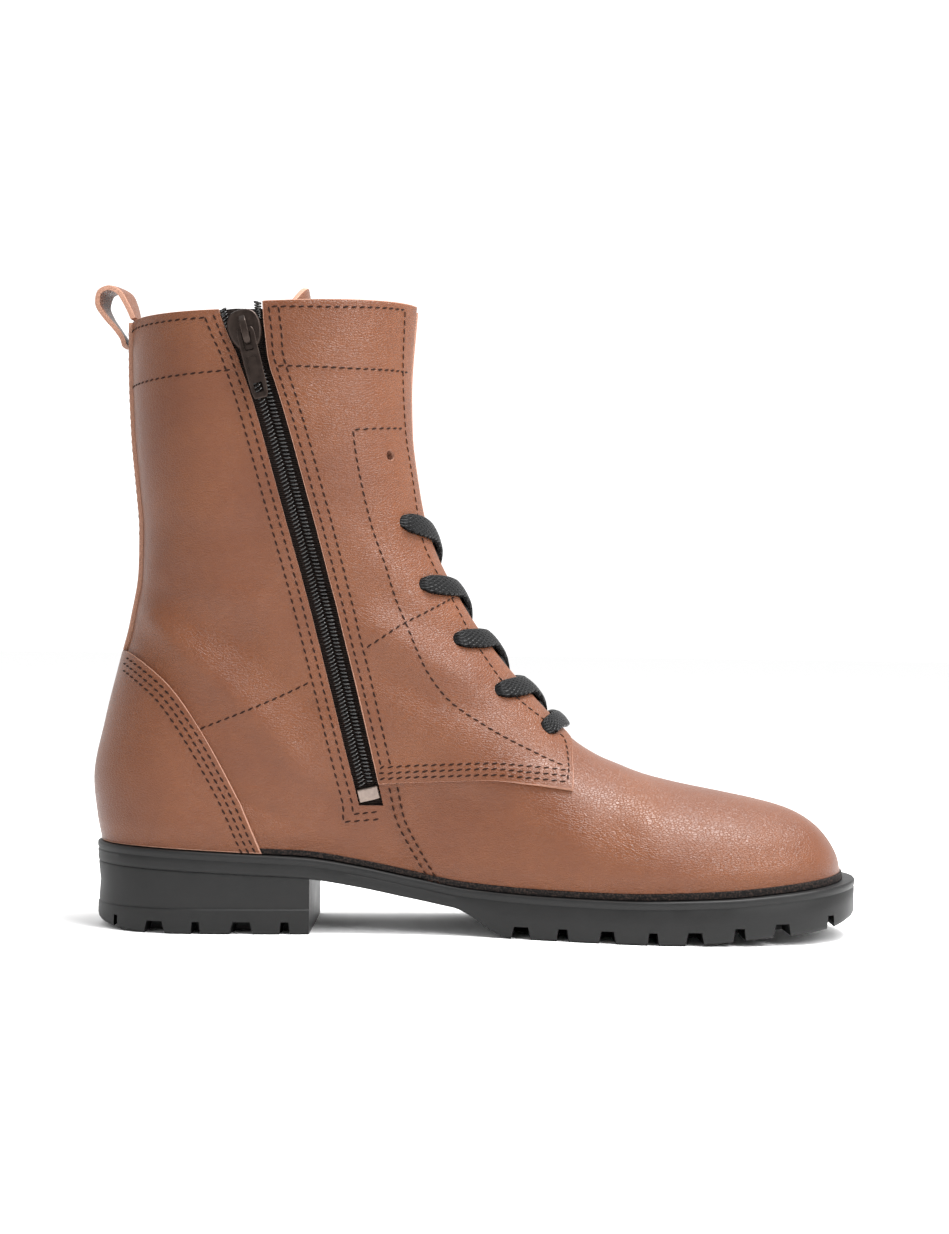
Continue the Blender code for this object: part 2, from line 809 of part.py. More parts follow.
def slab(name, xs, layers):
    """Solid over stations. Each layer gives, for x, its inner y, outer y and z. The first is the top."""
    bm = bmesh.new()
    grid = []
    for x in xs:
        ring = [layer(x) for layer in layers]
        inner = [bm.verts.new((x, a, z)) for a, _, z in ring]
        outer = [bm.verts.new((x, b, z)) for _, b, z in ring]
        grid.append(inner + outer[::-1])
    for one, two in zip(grid, grid[1:]):
        for a in range(len(one)):
            b = (a + 1) % len(one)
            bm.faces.new([one[a], one[b], two[b], two[a]])
    bm.faces.new(grid[0])
    bm.faces.new(grid[-1])
    bmesh.ops.remove_doubles(bm, verts=bm.verts, dist=1e-6)
    bmesh.ops.dissolve_degenerate(bm, dist=1e-7, edges=bm.edges)
    return mesh_of(name, bm)


tread_back = 0.530
tread_flat = 0.760
tread_line = smooth(
    (tread_flat, 0.80, 0.84, 0.88, 0.92, 0.96, 0.99, 1.0), (0, 0.09, 0.24, 0.36, 0.47, 0.66, 0.93, 1.0)
)


def tread(x):
    """Height of the forefoot's underside, of the waist behind it, and over the heel."""
    station = (x + half_length) / boot_length
    waist = feather(x) - waist_thickness
    ground = tread_spring * tread_line(station) if station > tread_flat else 0.0
    return between(waist, ground, float(ramp(station, tread_back - 0.052, tread_back + 0.024)))


def make_welt():
    """Strip round the upper's foot, seen as the sole's top edge, that carries the upper."""
    angles = np.concatenate([np.linspace(0, math.pi, 29), -np.linspace(math.pi, 0, 29)[1:-1]])
    outer, inner = [], []
    for angle in angles:
        side = INNER if angle >= 0 else OUTER
        _, _, wide = outline(0)
        _, _, narrow = outline(-welt_seat, 0)
        place = abs(angle) / math.pi * (len(footprint_angles) - 1)
        at = np.arange(len(footprint_angles))
        edges = wide[0 if side == INNER else 1], narrow[0 if side == INNER else 1]
        outer.append([np.interp(place, at, edges[0][:, 0]), np.interp(place, at, edges[0][:, 1])])
        inner.append([np.interp(place, at, edges[1][:, 0]), np.interp(place, at, edges[1][:, 1])])
    bm = bmesh.new()
    loops = []
    for line, drop in ((outer, 0), (outer, welt_thickness), (inner, welt_thickness), (inner, 0)):
        loops.append([bm.verts.new((x, y, feather(x) - drop)) for x, y in line])
    for one, two in zip(loops, loops[1:] + loops[:1]):
        for a in range(len(one)):
            b = (a + 1) % len(one)
            bm.faces.new([one[a], one[b], two[b], two[a]])
    return new_object("welt", mesh_of("welt", bm), RUBBER, 0.6)


def trough(place, half, low, high):
    """Section of a groove at a place (x, y): half gives its reach to both sides, and it narrows upwards."""
    (x, y), (a, b) = place, half
    wide = [(x - a, y - b, low), (x + a, y + b, low)]
    a, b = a * groove_taper, b * groove_taper
    return [*wide, (x + a, y + b, high), (x - a, y - b, high)]


def side_grooves(name, grooves, reach, depth, floor):
    """Cutters for the grooves between the lugs, from both edges inwards."""
    made = []
    for index, (middle, width) in enumerate(grooves):
        for side in (INNER, OUTER):
            x = middle * boot_length
            inner, outer = plan(x, 0)
            edge = inner if side == INNER else outer
            inwards = side * reach
            half = width * MM / 2
            low, high = floor(x) - cutter_reach, floor(x) + depth
            start, end = edge - side * cutter_reach, edge + inwards
            sections = [
                trough((x, y), (half * w, 0), low, high)
                for y, w in ((start, 1.08), (end, 0.8))
            ]
            cutter = f"{name}_{index}_{'inner' if side == INNER else 'outer'}"
            made.append(helper(cutter, tube(cutter, sections)))
    return made


def channel(name, start, end, inset, side, floor, depth, count=9):
    """Cutter for the long groove that parts the side lugs from the middle ones."""
    sections = []
    for x in np.linspace(start, end, count):
        inner, outer = plan(x, 0)
        y = inner + inset if side == INNER else outer - inset
        sections.append(trough((x, y), (0, channel_width / 2), floor(x) - cutter_reach, floor(x) + depth))
    return helper(name, tube(name, sections))


def cross_groove(name, x, half_span, width, floor, depth):
    """Cutter for a groove across the middle lugs, shaped as a shallow chevron."""
    sections = []
    for share in (-1, 0, 1):
        tip = x + width * (1 - abs(share))
        place = tip, half_span * share
        sections.append(trough(place, (width / 2, 0), floor(x) - cutter_reach, floor(x) + depth))
    return helper(name, tube(name, sections))


def make_outsole():
    back, toe, _ = outline(-seat_gap)
    ramp_x = [boot_length * (tread_back + d) - half_length for d in (-0.052, -0.03, -0.014, 0.002, 0.024)]
    xs = stations(back, toe, ramp_x)

    def layer(inset, height):
        return lambda x: (*plan(x, -seat_gap - inset), height(x))

    def top(x):
        return feather(x) - welt_thickness - seat_gap

    def low(x):
        return min(tread(x) + sole_edge_height, top(x) - sole_edge_round)

    mesh = slab("outsole", xs, [layer(0, top), layer(0, low), layer(sole_edge_round, tread)])
    made = new_object("outsole", mesh, RUBBER, 0.65)
    platform = make_platform()
    join(made, [platform])
    grooves = side_grooves("tread_groove", TREAD_GROOVES, side_lug_reach, lug_depth, tread)
    for side, word in ((INNER, "inner"), (OUTER, "outer")):
        start, end = channel_start * boot_length, channel_end * boot_length
        grooves.append(channel(f"tread_channel_{word}", start, end, side_lug_reach, side, tread, lug_depth))
    span = half_ball + welt_at_ball - side_lug_reach
    for index, place in enumerate(CROSS_GROOVES):
        x = place * boot_length
        grooves.append(cross_groove(f"tread_cross_{index}", x, span, channel_width, tread, lug_depth))
    cut(made, grooves)
    return made


def make_platform():
    """The outsole's raised middle, which fills the ring of the welt and carries the insole."""
    inset = welt_seat + 2 * seat_gap
    back, toe, _ = outline(-inset, 0)
    xs = stations(back, toe)[::2]
    return helper(
        "outsole_middle",
        slab(
            "outsole_middle",
            xs,
            [
                lambda x: (*plan(x, -inset, 0), feather(x)),
                lambda x: (*plan(x, -inset, 0), feather(x) - welt_thickness - sole_edge_height),
            ],
        ),
    )


def heel_stations(offset):
    back, toe, _ = outline(offset)
    front = -heel_breast_from_middle
    xs = stations(back, toe)
    return np.append(xs[xs < front - 0.002], front)


def heel_roll(x):
    """The heel's ground face lifts a little towards the back."""
    return top_piece_roll * float(ramp(-x, half_length - 0.024, half_length)) ** 1.5


def make_heel_block():
    def top(x):
        return feather(x) - waist_thickness - seat_gap

    def base(x):
        return top_piece_height + seat_gap

    layers = [
        lambda x: (*plan(x, -heel_inset), top(x)),
        lambda x: (*plan(x, -heel_inset - heel_hollow_in), between(base(x), top(x), 0.5)),
        lambda x: (*plan(x, -heel_inset - heel_hollow_in / 2), base(x)),
    ]
    xs = heel_stations(-heel_inset - heel_hollow_in)
    return new_object("heel_block", slab("heel_block", xs, layers), RUBBER, 0.65)


def make_top_piece():
    layers = [
        lambda x: (*plan(x, -heel_inset), top_piece_height),
        lambda x: (*plan(x, -heel_inset), heel_roll(x) + sole_edge_height),
        lambda x: (*plan(x, -heel_inset - sole_edge_round), heel_roll(x)),
    ]
    xs = heel_stations(-heel_inset - sole_edge_round)
    made = new_object("heel_top_piece", slab("heel_top_piece", xs, layers), RUBBER, 0.65)
    cut(made, side_grooves("heel_groove", HEEL_GROOVES, 0.65 * side_lug_reach, lug_depth, heel_roll))
    return made


def make_insole():
    inset = wall + insole_clearance
    back, toe, _ = outline(-inset, 0)
    xs = stations(back, toe)[::2]
    xs = np.append(xs, toe) if xs[-1] < toe else xs
    layers = [
        lambda x: (*plan(x, -inset, 0), feather(x) + seat_gap + insole_thickness),
        lambda x: (*plan(x, -inset, 0), feather(x) + seat_gap),
    ]
    return new_object("insole", slab("insole", xs, layers), LINING, 0.8)


# The zip

def zip_frame(share):
    """Point on the skin at a height share of the zip line, and its down, outward and sideways."""
    rows = ZIP_LINE[::-1]
    middle = smooth(column(rows, 1), column(rows, 2))

    def at(s):
        v, angle = locate(float(middle(s)) * boot_length, s * collar_height)
        return skin(v, angle)

    point, normal = at(share)
    down = at(share - 0.02)[0] - at(share + 0.02)[0]
    down, out = Vector(down).normalized(), Vector(normal)
    out = (out - down * out.dot(down)).normalized()
    return Vector(point), down, out, down.cross(out)


zip_bottom = ZIP_LINE[-1][1]
slider_share = 0.942


def zip_strip(name, low, high, width, lift, thickness, count, colour, roughness):
    """Flat strip along the zip line between two height shares, on the inner side."""
    path, across, normals = [], [], []
    for share in np.linspace(low, high, count):
        point, _, out, side = zip_frame(share)
        path.append(point + out * lift)
        across.append(side)
        normals.append(out)
    mesh = ribbon(name, path, across, normals, width, thickness)
    return new_object(name, mesh, colour, roughness)


def make_tape(count=10, columns=5):
    """Tape behind the slot, curved with the upper's inside."""
    levels, angles = [], []
    for share in np.linspace(zip_bottom - 0.02, 0.965, count):
        z = share * collar_height
        middle = (slot_edge(z, -1) + slot_edge(z, 1)) / 2
        places = [locate(middle + d * tape_width / 2, z) for d in np.linspace(-1, 1, columns)]
        levels.append([p[0] for p in places])
        angles.append([p[1] for p in places])
    levels, angles = np.array(levels), np.array(angles)
    under = wall + seat_gap
    face, back = skin(levels, angles, -under)[0], skin(levels, angles, -under - tape_thickness)[0]
    mesh = shell("zip_tape", face, back)
    return new_object("zip_tape", mesh, BLACK, 0.9)


def local_box(bm, frame, low, high):
    """Box in a frame of (origin, down, out, side) between two corners given in those directions."""
    origin, down, out, side = frame
    corners = []
    for a in (low[0], high[0]):
        for b in (low[1], high[1]):
            for c in (low[2], high[2]):
                corners.append(bm.verts.new(origin + down * a + out * b + side * c))
    for face in ((0, 1, 3, 2), (4, 5, 7, 6), (0, 1, 5, 4), (2, 3, 7, 6), (0, 2, 6, 4), (1, 3, 7, 5)):
        bm.faces.new([corners[i] for i in face])


def box_object(name, frame, low, high):
    bm = bmesh.new()
    local_box(bm, frame, low, high)
    return helper(name, mesh_of(name, bm))


def slider_frame():
    point, down, out, side = zip_frame(slider_share)
    return point + out * (coil_height - wall + seat_gap), down, out, side


def bridge_pieces(frame):
    """Two posts and a bar over the slider, which the pull's axle runs under."""
    half, low, top = bridge_width / 2, slider_height - 0.3 * MM, slider_height + bridge_height
    end, sunk = bridge_length / 2, 0.1 * MM
    bar_low, bar_high = (sunk - end, top - bridge_bar, -half), (end - sunk, top + 2 * sunk, half)
    return [
        box_object("bridge_post_high", frame, (-end, low, -half), (bridge_post - end, top, half)),
        box_object("bridge_post_low", frame, (end - bridge_post, low, -half), (end, top, half)),
        box_object("bridge_bar", frame, bar_low, bar_high),
    ]


def make_slider():
    """Slider body: a plate that narrows to its tail, with the bridge on top."""
    frame = slider_frame()
    origin, down, out, side = frame
    half = slider_width / 2
    plan_points = ((-0.50, 0.55), (-0.36, 0.88), (-0.12, 1.0), (0.20, 0.82), (0.44, 0.66), (0.50, 0.5))
    right = [(a * slider_length, b * half) for a, b in plan_points]
    left = [(a, -b) for a, b in right[::-1]]
    sections = []
    for height, inset in ((0.0, 1.0), (slider_height * 0.7, 1.0), (slider_height, 0.86)):
        sections.append([origin + down * a + out * height + side * b * inset for a, b in right + left])
    made = new_object("zip_slider", tube("zip_slider", sections), GUNMETAL, 0.35, 0.9)
    join(made, bridge_pieces(frame))
    return made


def pull_axis():
    """Middle of the pull's axle, and the frame it turns in."""
    origin, down, out, side = slider_frame()
    height = slider_height + bridge_height - bridge_bar - pull_thickness / 2 - axle_clearance
    return origin + out * height, down, out, side


def make_pull():
    """Pull tab: two arms with an axle under the bridge, and a plate with a slot."""
    origin, down, out, side = pull_axis()
    half, thick = pull_width / 2, pull_thickness / 2
    arm = bridge_width / 2 + axle_clearance
    slot = 0.35 * pull_width / 2
    window = bridge_length / 2 + 2 * bridge_height * 0.4
    columns = (-half, -arm, -slot, slot, arm, half)
    rows = (  # distance from the axle, share of the half width
        (-thick, 0.80),
        (thick, 1.00),
        (window, 1.00),
        (0.80 * pull_length, 0.94),
        (0.90 * pull_length, 0.90),
        (pull_length, 0.78),
    )
    sheets = []
    for height in (thick, -thick):
        sheet = [
            [origin + down * a + out * height + side * c * share for c in columns]
            for a, share in rows
        ]
        sheets.append(np.array(sheet))
    mesh = shell("zip_pull", *sheets, open_cell=lambda i, j: (i == 1 and 1 <= j <= 3) or (i == 3 and j == 2))
    return new_object("zip_pull", mesh, GUNMETAL, 0.35, 0.9)


def make_stop():
    point, down, out, side = zip_frame(zip_bottom + 0.018)
    half = coil_width / 2 + 0.4 * MM
    bm = bmesh.new()
    start = point + out * (seat_gap - wall)
    local_box(bm, (start, down, out, side), (-2.3 * MM, 0, -half), (2.3 * MM, coil_height - 0.3 * MM, half))
    return new_object("zip_stop", mesh_of("zip_stop", bm), STEEL, 0.4, 0.9)


# The lace

def lace_ribbon(name, start, end, level):
    """Flat lace from over an eyelet to the far edge of the throat or the far eyelet."""
    (v0, a0), (v1, a1) = start, end
    steps = np.linspace(0, 1, 10)
    turn = (2 * math.pi - abs(a1)) * math.copysign(1, a0) - a0 if a0 * a1 < 0 else a1 - a0
    angles = a0 + turn * steps
    rings = between(v0, v1, steps)
    lifts = level(steps)
    points, normals = [], []
    for ring, angle, lift in zip(rings, angles, lifts):
        point, normal = skin(ring, angle, lift)
        points.append(Vector(point))
        normals.append(Vector(normal))
    across = []
    for i in range(len(points)):
        along = points[min(i + 1, len(points) - 1)] - points[max(i - 1, 0)]
        across.append(along.cross(normals[i]).normalized())
    return ribbon(name, points, across, normals, lace_width, lace_thickness)


def make_laces(eyelets):
    over = overlay_gap + overlay + 2 * seat_gap
    low = seat_gap - wall
    made = []
    v, angle = eyelets[0]
    bar = lace_ribbon("lace_bar", (v, angle), (v, -angle), lambda s: over + 0 * s)
    made.append(new_object("lace_bar", bar, BLACK, 0.6))
    for row in range(1, 5):
        strands = []
        for side in (INNER, OUTER):
            start = (eyelets[row][0], side * eyelets[row][1])
            below = eyelets[row - 1][0]
            ring = between(eyelets[row][0], below, 0.78)
            end = (ring, -side * angle_at_gap(ring, 0.55 * half_gap))
            name = f"lace_cross_{row}" + ("" if side == INNER else "_far")
            strands.append(lace_ribbon(name, start, end, lambda s: between(over, low, ramp(s, 0.55, 1.0))))
        near = new_object(f"lace_cross_{row}", strands[0], BLACK, 0.6)
        join(near, [helper(f"lace_cross_{row}_far", strands[1])])
        made.append(near)
    return made


def main():
    for old in list(bpy.data.objects):
        bpy.data.objects.remove(old)
    root = bpy.data.objects.new("boot", None)
    bpy.context.scene.collection.objects.link(root)
    upper = make_upper()
    inner_quarter = overlay_shell("quarter_inner", *quarter_patch(INNER))
    outer_quarter = overlay_shell("quarter_outer", *quarter_patch(OUTER))
    eyelets = eyelet_places()
    holes = [
        eyelet_cutter(f"eyelet_{row}_{word}", v, side * angle)
        for row, (v, angle) in enumerate(eyelets)
        for side, word in ((INNER, "inner"), (OUTER, "outer"))
    ]
    cut(upper, [zip_slot_cutter(), *holes])
    cut(inner_quarter, holes[0::2])
    cut(outer_quarter, holes[1::2])
    make_counter()
    make_back_strip()
    make_tongue()
    make_pull_loop()
    make_welt()
    make_outsole()
    make_heel_block()
    make_top_piece()
    make_insole()
    make_tape()
    low = zip_bottom + 0.036
    high = slider_share - 0.5 * slider_length / collar_height - 0.004
    zip_strip("zip_coil", low, high, coil_width, seat_gap - wall, coil_height, 15, BLACK, 0.5)
    make_slider()
    make_pull()
    make_stop()
    make_laces(eyelets)
    for made in bpy.context.scene.collection.objects:
        if made is not root:
            made.parent = root


main()
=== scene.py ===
import math

import bmesh
import bpy
import numpy as np
from mathutils import Matrix, Vector


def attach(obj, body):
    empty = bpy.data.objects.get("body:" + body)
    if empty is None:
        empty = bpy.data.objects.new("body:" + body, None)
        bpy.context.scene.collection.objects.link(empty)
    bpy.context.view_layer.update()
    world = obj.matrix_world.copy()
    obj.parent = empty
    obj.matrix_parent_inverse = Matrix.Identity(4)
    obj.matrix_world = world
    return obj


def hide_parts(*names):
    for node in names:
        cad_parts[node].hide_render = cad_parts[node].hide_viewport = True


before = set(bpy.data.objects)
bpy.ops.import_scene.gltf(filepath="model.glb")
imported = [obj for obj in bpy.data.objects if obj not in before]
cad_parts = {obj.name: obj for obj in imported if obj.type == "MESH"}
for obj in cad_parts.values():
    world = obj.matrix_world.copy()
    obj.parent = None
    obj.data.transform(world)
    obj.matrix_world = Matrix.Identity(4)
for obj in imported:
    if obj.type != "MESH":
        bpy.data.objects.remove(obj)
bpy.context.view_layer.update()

# Looks of a left lace up ankle boot in brown leather, with a zip on its inner side.
# The toe points to +X, the wearer's inner side is -Y, and lengths are metres.

print("frame loaded")

mm = 0.001
inner, outer = 1, -1

# The last: the same sizes and tables as the boot's solids

last = {
    "length": 278 * mm,
    "collar": 225.2 * mm,
    "collarFall": 7.0 * mm,
    "collarStep": 2.4 * mm,
    "shaftDepth": 101.3 * mm,
    "throatHeight": 70.4 * mm,
    "throatPlace": 35.5 * mm,
    "heelHollow": 18.1 * mm,
    "ball": 90 * mm,
    "shaft": 74 * mm,
    "toeSwing": 5.5 * mm,
    "throatGap": 16 * mm,
    "vampRounding": 33 * mm,
    "shinRounding": 31 * mm,
    "backRounding": 36 * mm,
    "forefoot": 15.0 * mm,
    "heelRise": 15.8 * mm,
    "toeSpring": 6.0 * mm,
    "weltAtToe": 5.6 * mm,
    "weltAtBall": 3.4 * mm,
    "weltAtHeel": 3.0 * mm,
    "wall": 2.2 * mm,
    "overlay": 1.2 * mm,
    "seatGap": 0.3 * mm,
    # station of the length, share of the heel rise, share of the toe spring
    "feather": (
        (0.000, 1.00, 0.00), (0.083, 0.95, 0.00), (0.200, 0.85, 0.00), (0.285, 0.77, 0.00),
        (0.354, 0.59, 0.00), (0.428, 0.33, 0.00), (0.500, 0.11, 0.00), (0.590, 0.02, 0.00),
        (0.680, 0.00, 0.00), (0.800, 0.00, 0.15), (0.900, 0.00, 0.50), (1.000, 0.00, 1.00),
    ),
    # height share from seat to collar, share of the heel hollow
    "backLine": (
        (0.000, 0.330), (0.055, 0.220), (0.120, 0.150), (0.230, 0.350), (0.370, 0.690), (0.460, 0.900),
        (0.530, 1.000), (0.640, 0.960), (0.780, 0.830), (0.900, 0.770), (1.000, 0.755),
    ),
    # height share from throat to collar, share forward from the shin to the throat
    "shinLine": (
        (1.00, 0.030), (0.81, 0.000), (0.71, 0.007), (0.60, 0.044), (0.50, 0.096), (0.42, 0.172),
        (0.33, 0.296), (0.24, 0.447), (0.15, 0.631), (0.07, 0.820), (0.00, 1.000),
    ),
    # share forward from throat to toe tip, share of the throat's height
    "vampLine": (
        (0.121, 0.886), (0.233, 0.812), (0.400, 0.757), (0.571, 0.713), (0.720, 0.670), (0.829, 0.622),
        (0.900, 0.562), (0.955, 0.477), (0.988, 0.386),
    ),
    "toeCrown": 4,
    # station of the length, inner and outer half width as shares of the ball's
    "footWidths": (
        (0.00, 0.690, 0.690), (0.14, 0.690, 0.700), (0.25, 0.655, 0.710), (0.34, 0.600, 0.720),
        (0.43, 0.590, 0.750), (0.50, 0.640, 0.800), (0.57, 0.760, 0.880), (0.65, 0.910, 0.965),
        (0.73, 1.000, 1.000), (0.82, 0.970, 0.970), (0.91, 0.880, 0.900), (1.00, 0.790, 0.830),
    ),
    # share of the collar's height, half width as a share of the collar's
    "shaftWidths": (
        (0.00, 0.80), (0.24, 0.84), (0.40, 0.80), (0.52, 0.83), (0.66, 0.92), (0.85, 0.99), (1.00, 1.00),
    ),
    # share along the front line, height share of the same ring at the back
    "rings": (
        (0.00, 1.000), (0.10, 0.862), (0.20, 0.715), (0.30, 0.585), (0.40, 0.480), (0.50, 0.392),
        (0.59, 0.320), (0.70, 0.235), (0.80, 0.165), (0.90, 0.090), (1.00, 0.000),
    ),
}
halfLength = last["length"] / 2
halfBall = last["ball"] / 2
halfShaft = last["shaft"] / 2
halfGap = last["throatGap"] / 2
backCollar = last["collar"] - last["collarFall"]
seatHeight = last["forefoot"] + last["heelRise"]


def smoothTable(stations, values):  # runs through a table's rows without overshoot
    s, v = np.array(stations, float), np.array(values, float)
    step = np.diff(s)
    slope = np.diff(v) / step
    tangent = np.concatenate([slope[:1], np.zeros(len(s) - 2), slope[-1:]])
    for i in range(1, len(s) - 1):
        if slope[i - 1] * slope[i] > 0:
            before, after = 2 * step[i] + step[i - 1], step[i] + 2 * step[i - 1]
            tangent[i] = (before + after) / (before / slope[i - 1] + after / slope[i])

    def value(at):
        at = np.clip(at, s[0], s[-1])
        i = np.clip(np.searchsorted(s, at) - 1, 0, len(s) - 2)
        t = (at - s[i]) / step[i]
        ends = (1 + 2 * t) * (1 - t) ** 2 * v[i] + t * t * (3 - 2 * t) * v[i + 1]
        return ends + t * (1 - t) * step[i] * ((1 - t) * tangent[i] - t * tangent[i + 1])

    return value


def tableOf(name, place):
    rows = last[name]
    return smoothTable([row[0] for row in rows], [row[place] for row in rows])


def ramp(value, low, high):
    t = np.clip((value - low) / (high - low), 0, 1)
    return t * t * (3 - 2 * t)


def between(a, b, share):
    return a + (b - a) * share


def unit(vectors):
    return vectors / np.linalg.norm(vectors, axis=-1, keepdims=True)


featherRise, featherSpring = tableOf("feather", 1), tableOf("feather", 2)
backInset = tableOf("backLine", 1)
innerWidth, outerWidth = tableOf("footWidths", 1), tableOf("footWidths", 2)
shaftShare = tableOf("shaftWidths", 1)
ringAtBack = tableOf("rings", 1)


def feather(x):  # height of the sole's top edge
    station = (x + halfLength) / last["length"]
    rise = last["heelRise"] * featherRise(station)
    return last["forefoot"] + rise + last["toeSpring"] * featherSpring(station)


def backX(z):
    return last["heelHollow"] * backInset((z - seatHeight) / (backCollar - seatHeight)) - halfLength


def frontRows():  # the outline from the collar down the shin and over the vamp to the toe tip
    shin = backX(backCollar) + last["shaftDepth"]
    toe = halfLength - last["weltAtToe"]
    rise = last["collar"] - last["throatHeight"]
    rows = [
        (between(shin, last["throatPlace"], forward), last["throatHeight"] + rise * up)
        for up, forward in last["shinLine"]
    ]
    rows += [
        (between(last["throatPlace"], toe, forward), last["throatHeight"] * up)
        for forward, up in last["vampLine"]
    ]
    return np.array(rows + [(toe, feather(toe) + last["seatGap"])])


frontLine = frontRows()
frontRun = np.concatenate([[0], np.cumsum(np.hypot(*np.diff(frontLine, axis=0).T))])
frontShare = frontRun / frontRun[-1]
throatShare = frontShare[len(last["shinLine"]) - 1]
frontXOf = smoothTable(frontShare, frontLine[:, 0])
frontZOf = smoothTable(frontShare, frontLine[:, 1])
lineX, lineZ = frontXOf(np.linspace(0, 1, 161)), frontZOf(np.linspace(0, 1, 161))


def topLine():  # the front outline as far as the toe's crown, run straight on from there
    crown = len(last["shinLine"]) + last["toeCrown"]
    kept = np.linspace(0, 1, 161) <= frontShare[crown]
    x, z = lineX[kept], lineZ[kept]
    fall = (z[-1] - z[-4]) / (x[-1] - x[-4])
    return np.append(x, x[-1] + halfBall), np.append(z, z[-1] + fall * halfBall)


topX, topZ = topLine()


def distanceToTop(x, z):
    start = np.stack([topX[:-1], topZ[:-1]], -1)
    run = np.stack([np.diff(topX), np.diff(topZ)], -1)
    point = np.stack([x, z], -1)[..., None, :] - start
    t = np.clip((point * run).sum(-1) / (run * run).sum(-1), 0, 1)
    return np.linalg.norm(point - t[..., None] * run, axis=-1).min(-1)


def rounded(share, power=2.12):
    return (1 - (1 - np.clip(share, 0, 1)) ** power) ** (1 / power)


def halfWidth(x, z, side):  # distance of the skin from the middle plane
    station = (x + halfLength) / last["length"]
    foot = halfBall * np.where(side == inner, innerWidth(station), outerWidth(station))
    shaft = halfShaft * shaftShare(z / last["collar"])
    up = ramp(z, seatHeight, last["throatHeight"] + last["heelRise"] + seatHeight)
    tuck = 1 - 0.045 * (1 - ramp(z - feather(x), 0, 0.6 * last["forefoot"]))
    ahead = np.maximum(np.interp(-z, -lineZ, lineX) - x, 1e-9)
    above = np.maximum(distanceToTop(x, z), 1e-9)
    toFront = 1 / np.sqrt(ahead**-2.0 + above**-2.0)
    rising = ramp(z, last["throatHeight"], last["collar"] / 2)
    rounding = between(last["vampRounding"], last["shinRounding"], rising)
    toBack = (x - backX(z)) / last["backRounding"]
    return between(foot, shaft, up) * tuck * rounded(toFront / rounding) * rounded(toBack)


def swing(x):
    return -last["toeSwing"] * ramp(x, last["throatPlace"], halfLength)


def ringSideView(v, share):
    low = seatHeight + last["seatGap"]
    backZ = low + (backCollar - low) * ringAtBack(v)
    x0, x1 = backX(backZ), frontXOf(v)
    x = between(x0, x1, share)
    straight = between(backZ, frontZOf(v), share)
    sag = feather(x) - between(feather(x0), feather(x1), share)
    zipX = -0.2914 * last["length"]
    step = (ramp(x, zipX - 0.008, zipX + 0.008) - share) * (1 - ramp(v, 0, 0.08))
    return x, straight + sag * ramp(v, 0.42, 0.98) + last["collarStep"] * step


def ringPoint(v, angle):  # angle 0 is the back seam, +pi/2 the inner side, pi the front
    x, z = ringSideView(v, (1 - np.cos(angle)) / 2)
    isInner = np.sin(angle) >= 0
    width = np.where(isInner, halfWidth(x, z, inner), halfWidth(x, z, outer))
    return np.stack([x, swing(x) + np.where(isInner, -width, width), z], -1)


def halved(low, high, below):  # works on whole arrays of questions at once
    low, high = np.array(low, float), np.array(high, float)
    for _ in range(26):
        middle = (low + high) / 2
        keep = below(middle)
        low, high = np.where(keep, middle, low), np.where(keep, high, middle)
    return (low + high) / 2


def locate(x, z, side=inner):  # ring and angle of points of the side view
    x, z = np.broadcast_arrays(np.asarray(x, float), np.asarray(z, float))

    def shareOn(v):
        x0, x1 = ringSideView(v, 0.0)[0], ringSideView(v, 1.0)[0]
        return np.clip((x - x0) / (x1 - x0), 0, 1)

    v = halved(np.zeros(x.shape), np.ones(x.shape), lambda v: ringSideView(v, shareOn(v))[1] > z)
    return v, side * np.arccos(1 - 2 * shareOn(v))


def angleAtGap(v, gap):
    v = np.asarray(v, float)

    def outside(angle):
        return halfWidth(*ringSideView(v, (1 - np.cos(angle)) / 2), inner) > gap

    return halved(np.full(v.shape, math.pi * 0.55), np.full(v.shape, math.pi), outside)


def angleAtX(v, x):
    x0, x1 = ringSideView(v, 0.0)[0], ringSideView(v, 1.0)[0]
    return np.arccos(1 - 2 * np.clip((x - x0) / (x1 - x0), 0, 1))


def angleAtLine(v, heights, places):  # where ring v meets a line of the side view, from the back
    line = smoothTable(heights, places)
    v = np.asarray(v, float)

    def behind(angle):
        x, z = ringSideView(v, (1 - np.cos(angle)) / 2)
        return x < line(z)

    return halved(np.zeros(v.shape), np.full(v.shape, math.pi), behind)


# Lines of the pattern on the leather, in millimetres of the side view as (x, z)

zipLine = {
    # height share of the collar, share of the length from the middle, half width of the slot in mm
    "rows": (
        (0.203, -0.1277, 4.3), (0.263, -0.1399, 4.5), (0.372, -0.1619, 4.7), (0.527, -0.1942, 4.8),
        (0.683, -0.2291, 5.0), (0.838, -0.2651, 5.0), (0.901, -0.2824, 5.2), (0.941, -0.2914, 6.8),
        (0.985, -0.2990, 7.8), (1.040, -0.3000, 8.0),
    ),
    "bottom": 0.203,
    "slider": 0.942,
}
zipMiddle = smoothTable([row[0] for row in zipLine["rows"]], [row[1] for row in zipLine["rows"]])
zipHalf = smoothTable([row[0] for row in zipLine["rows"]], [row[2] for row in zipLine["rows"]])


def slotX(z, side, extra=0.0):  # x of the slot's rear (-1) or front (+1) edge, moved out by extra
    share = z / last["collar"]
    return zipMiddle(share) * last["length"] + side * (zipHalf(share) * mm + extra)


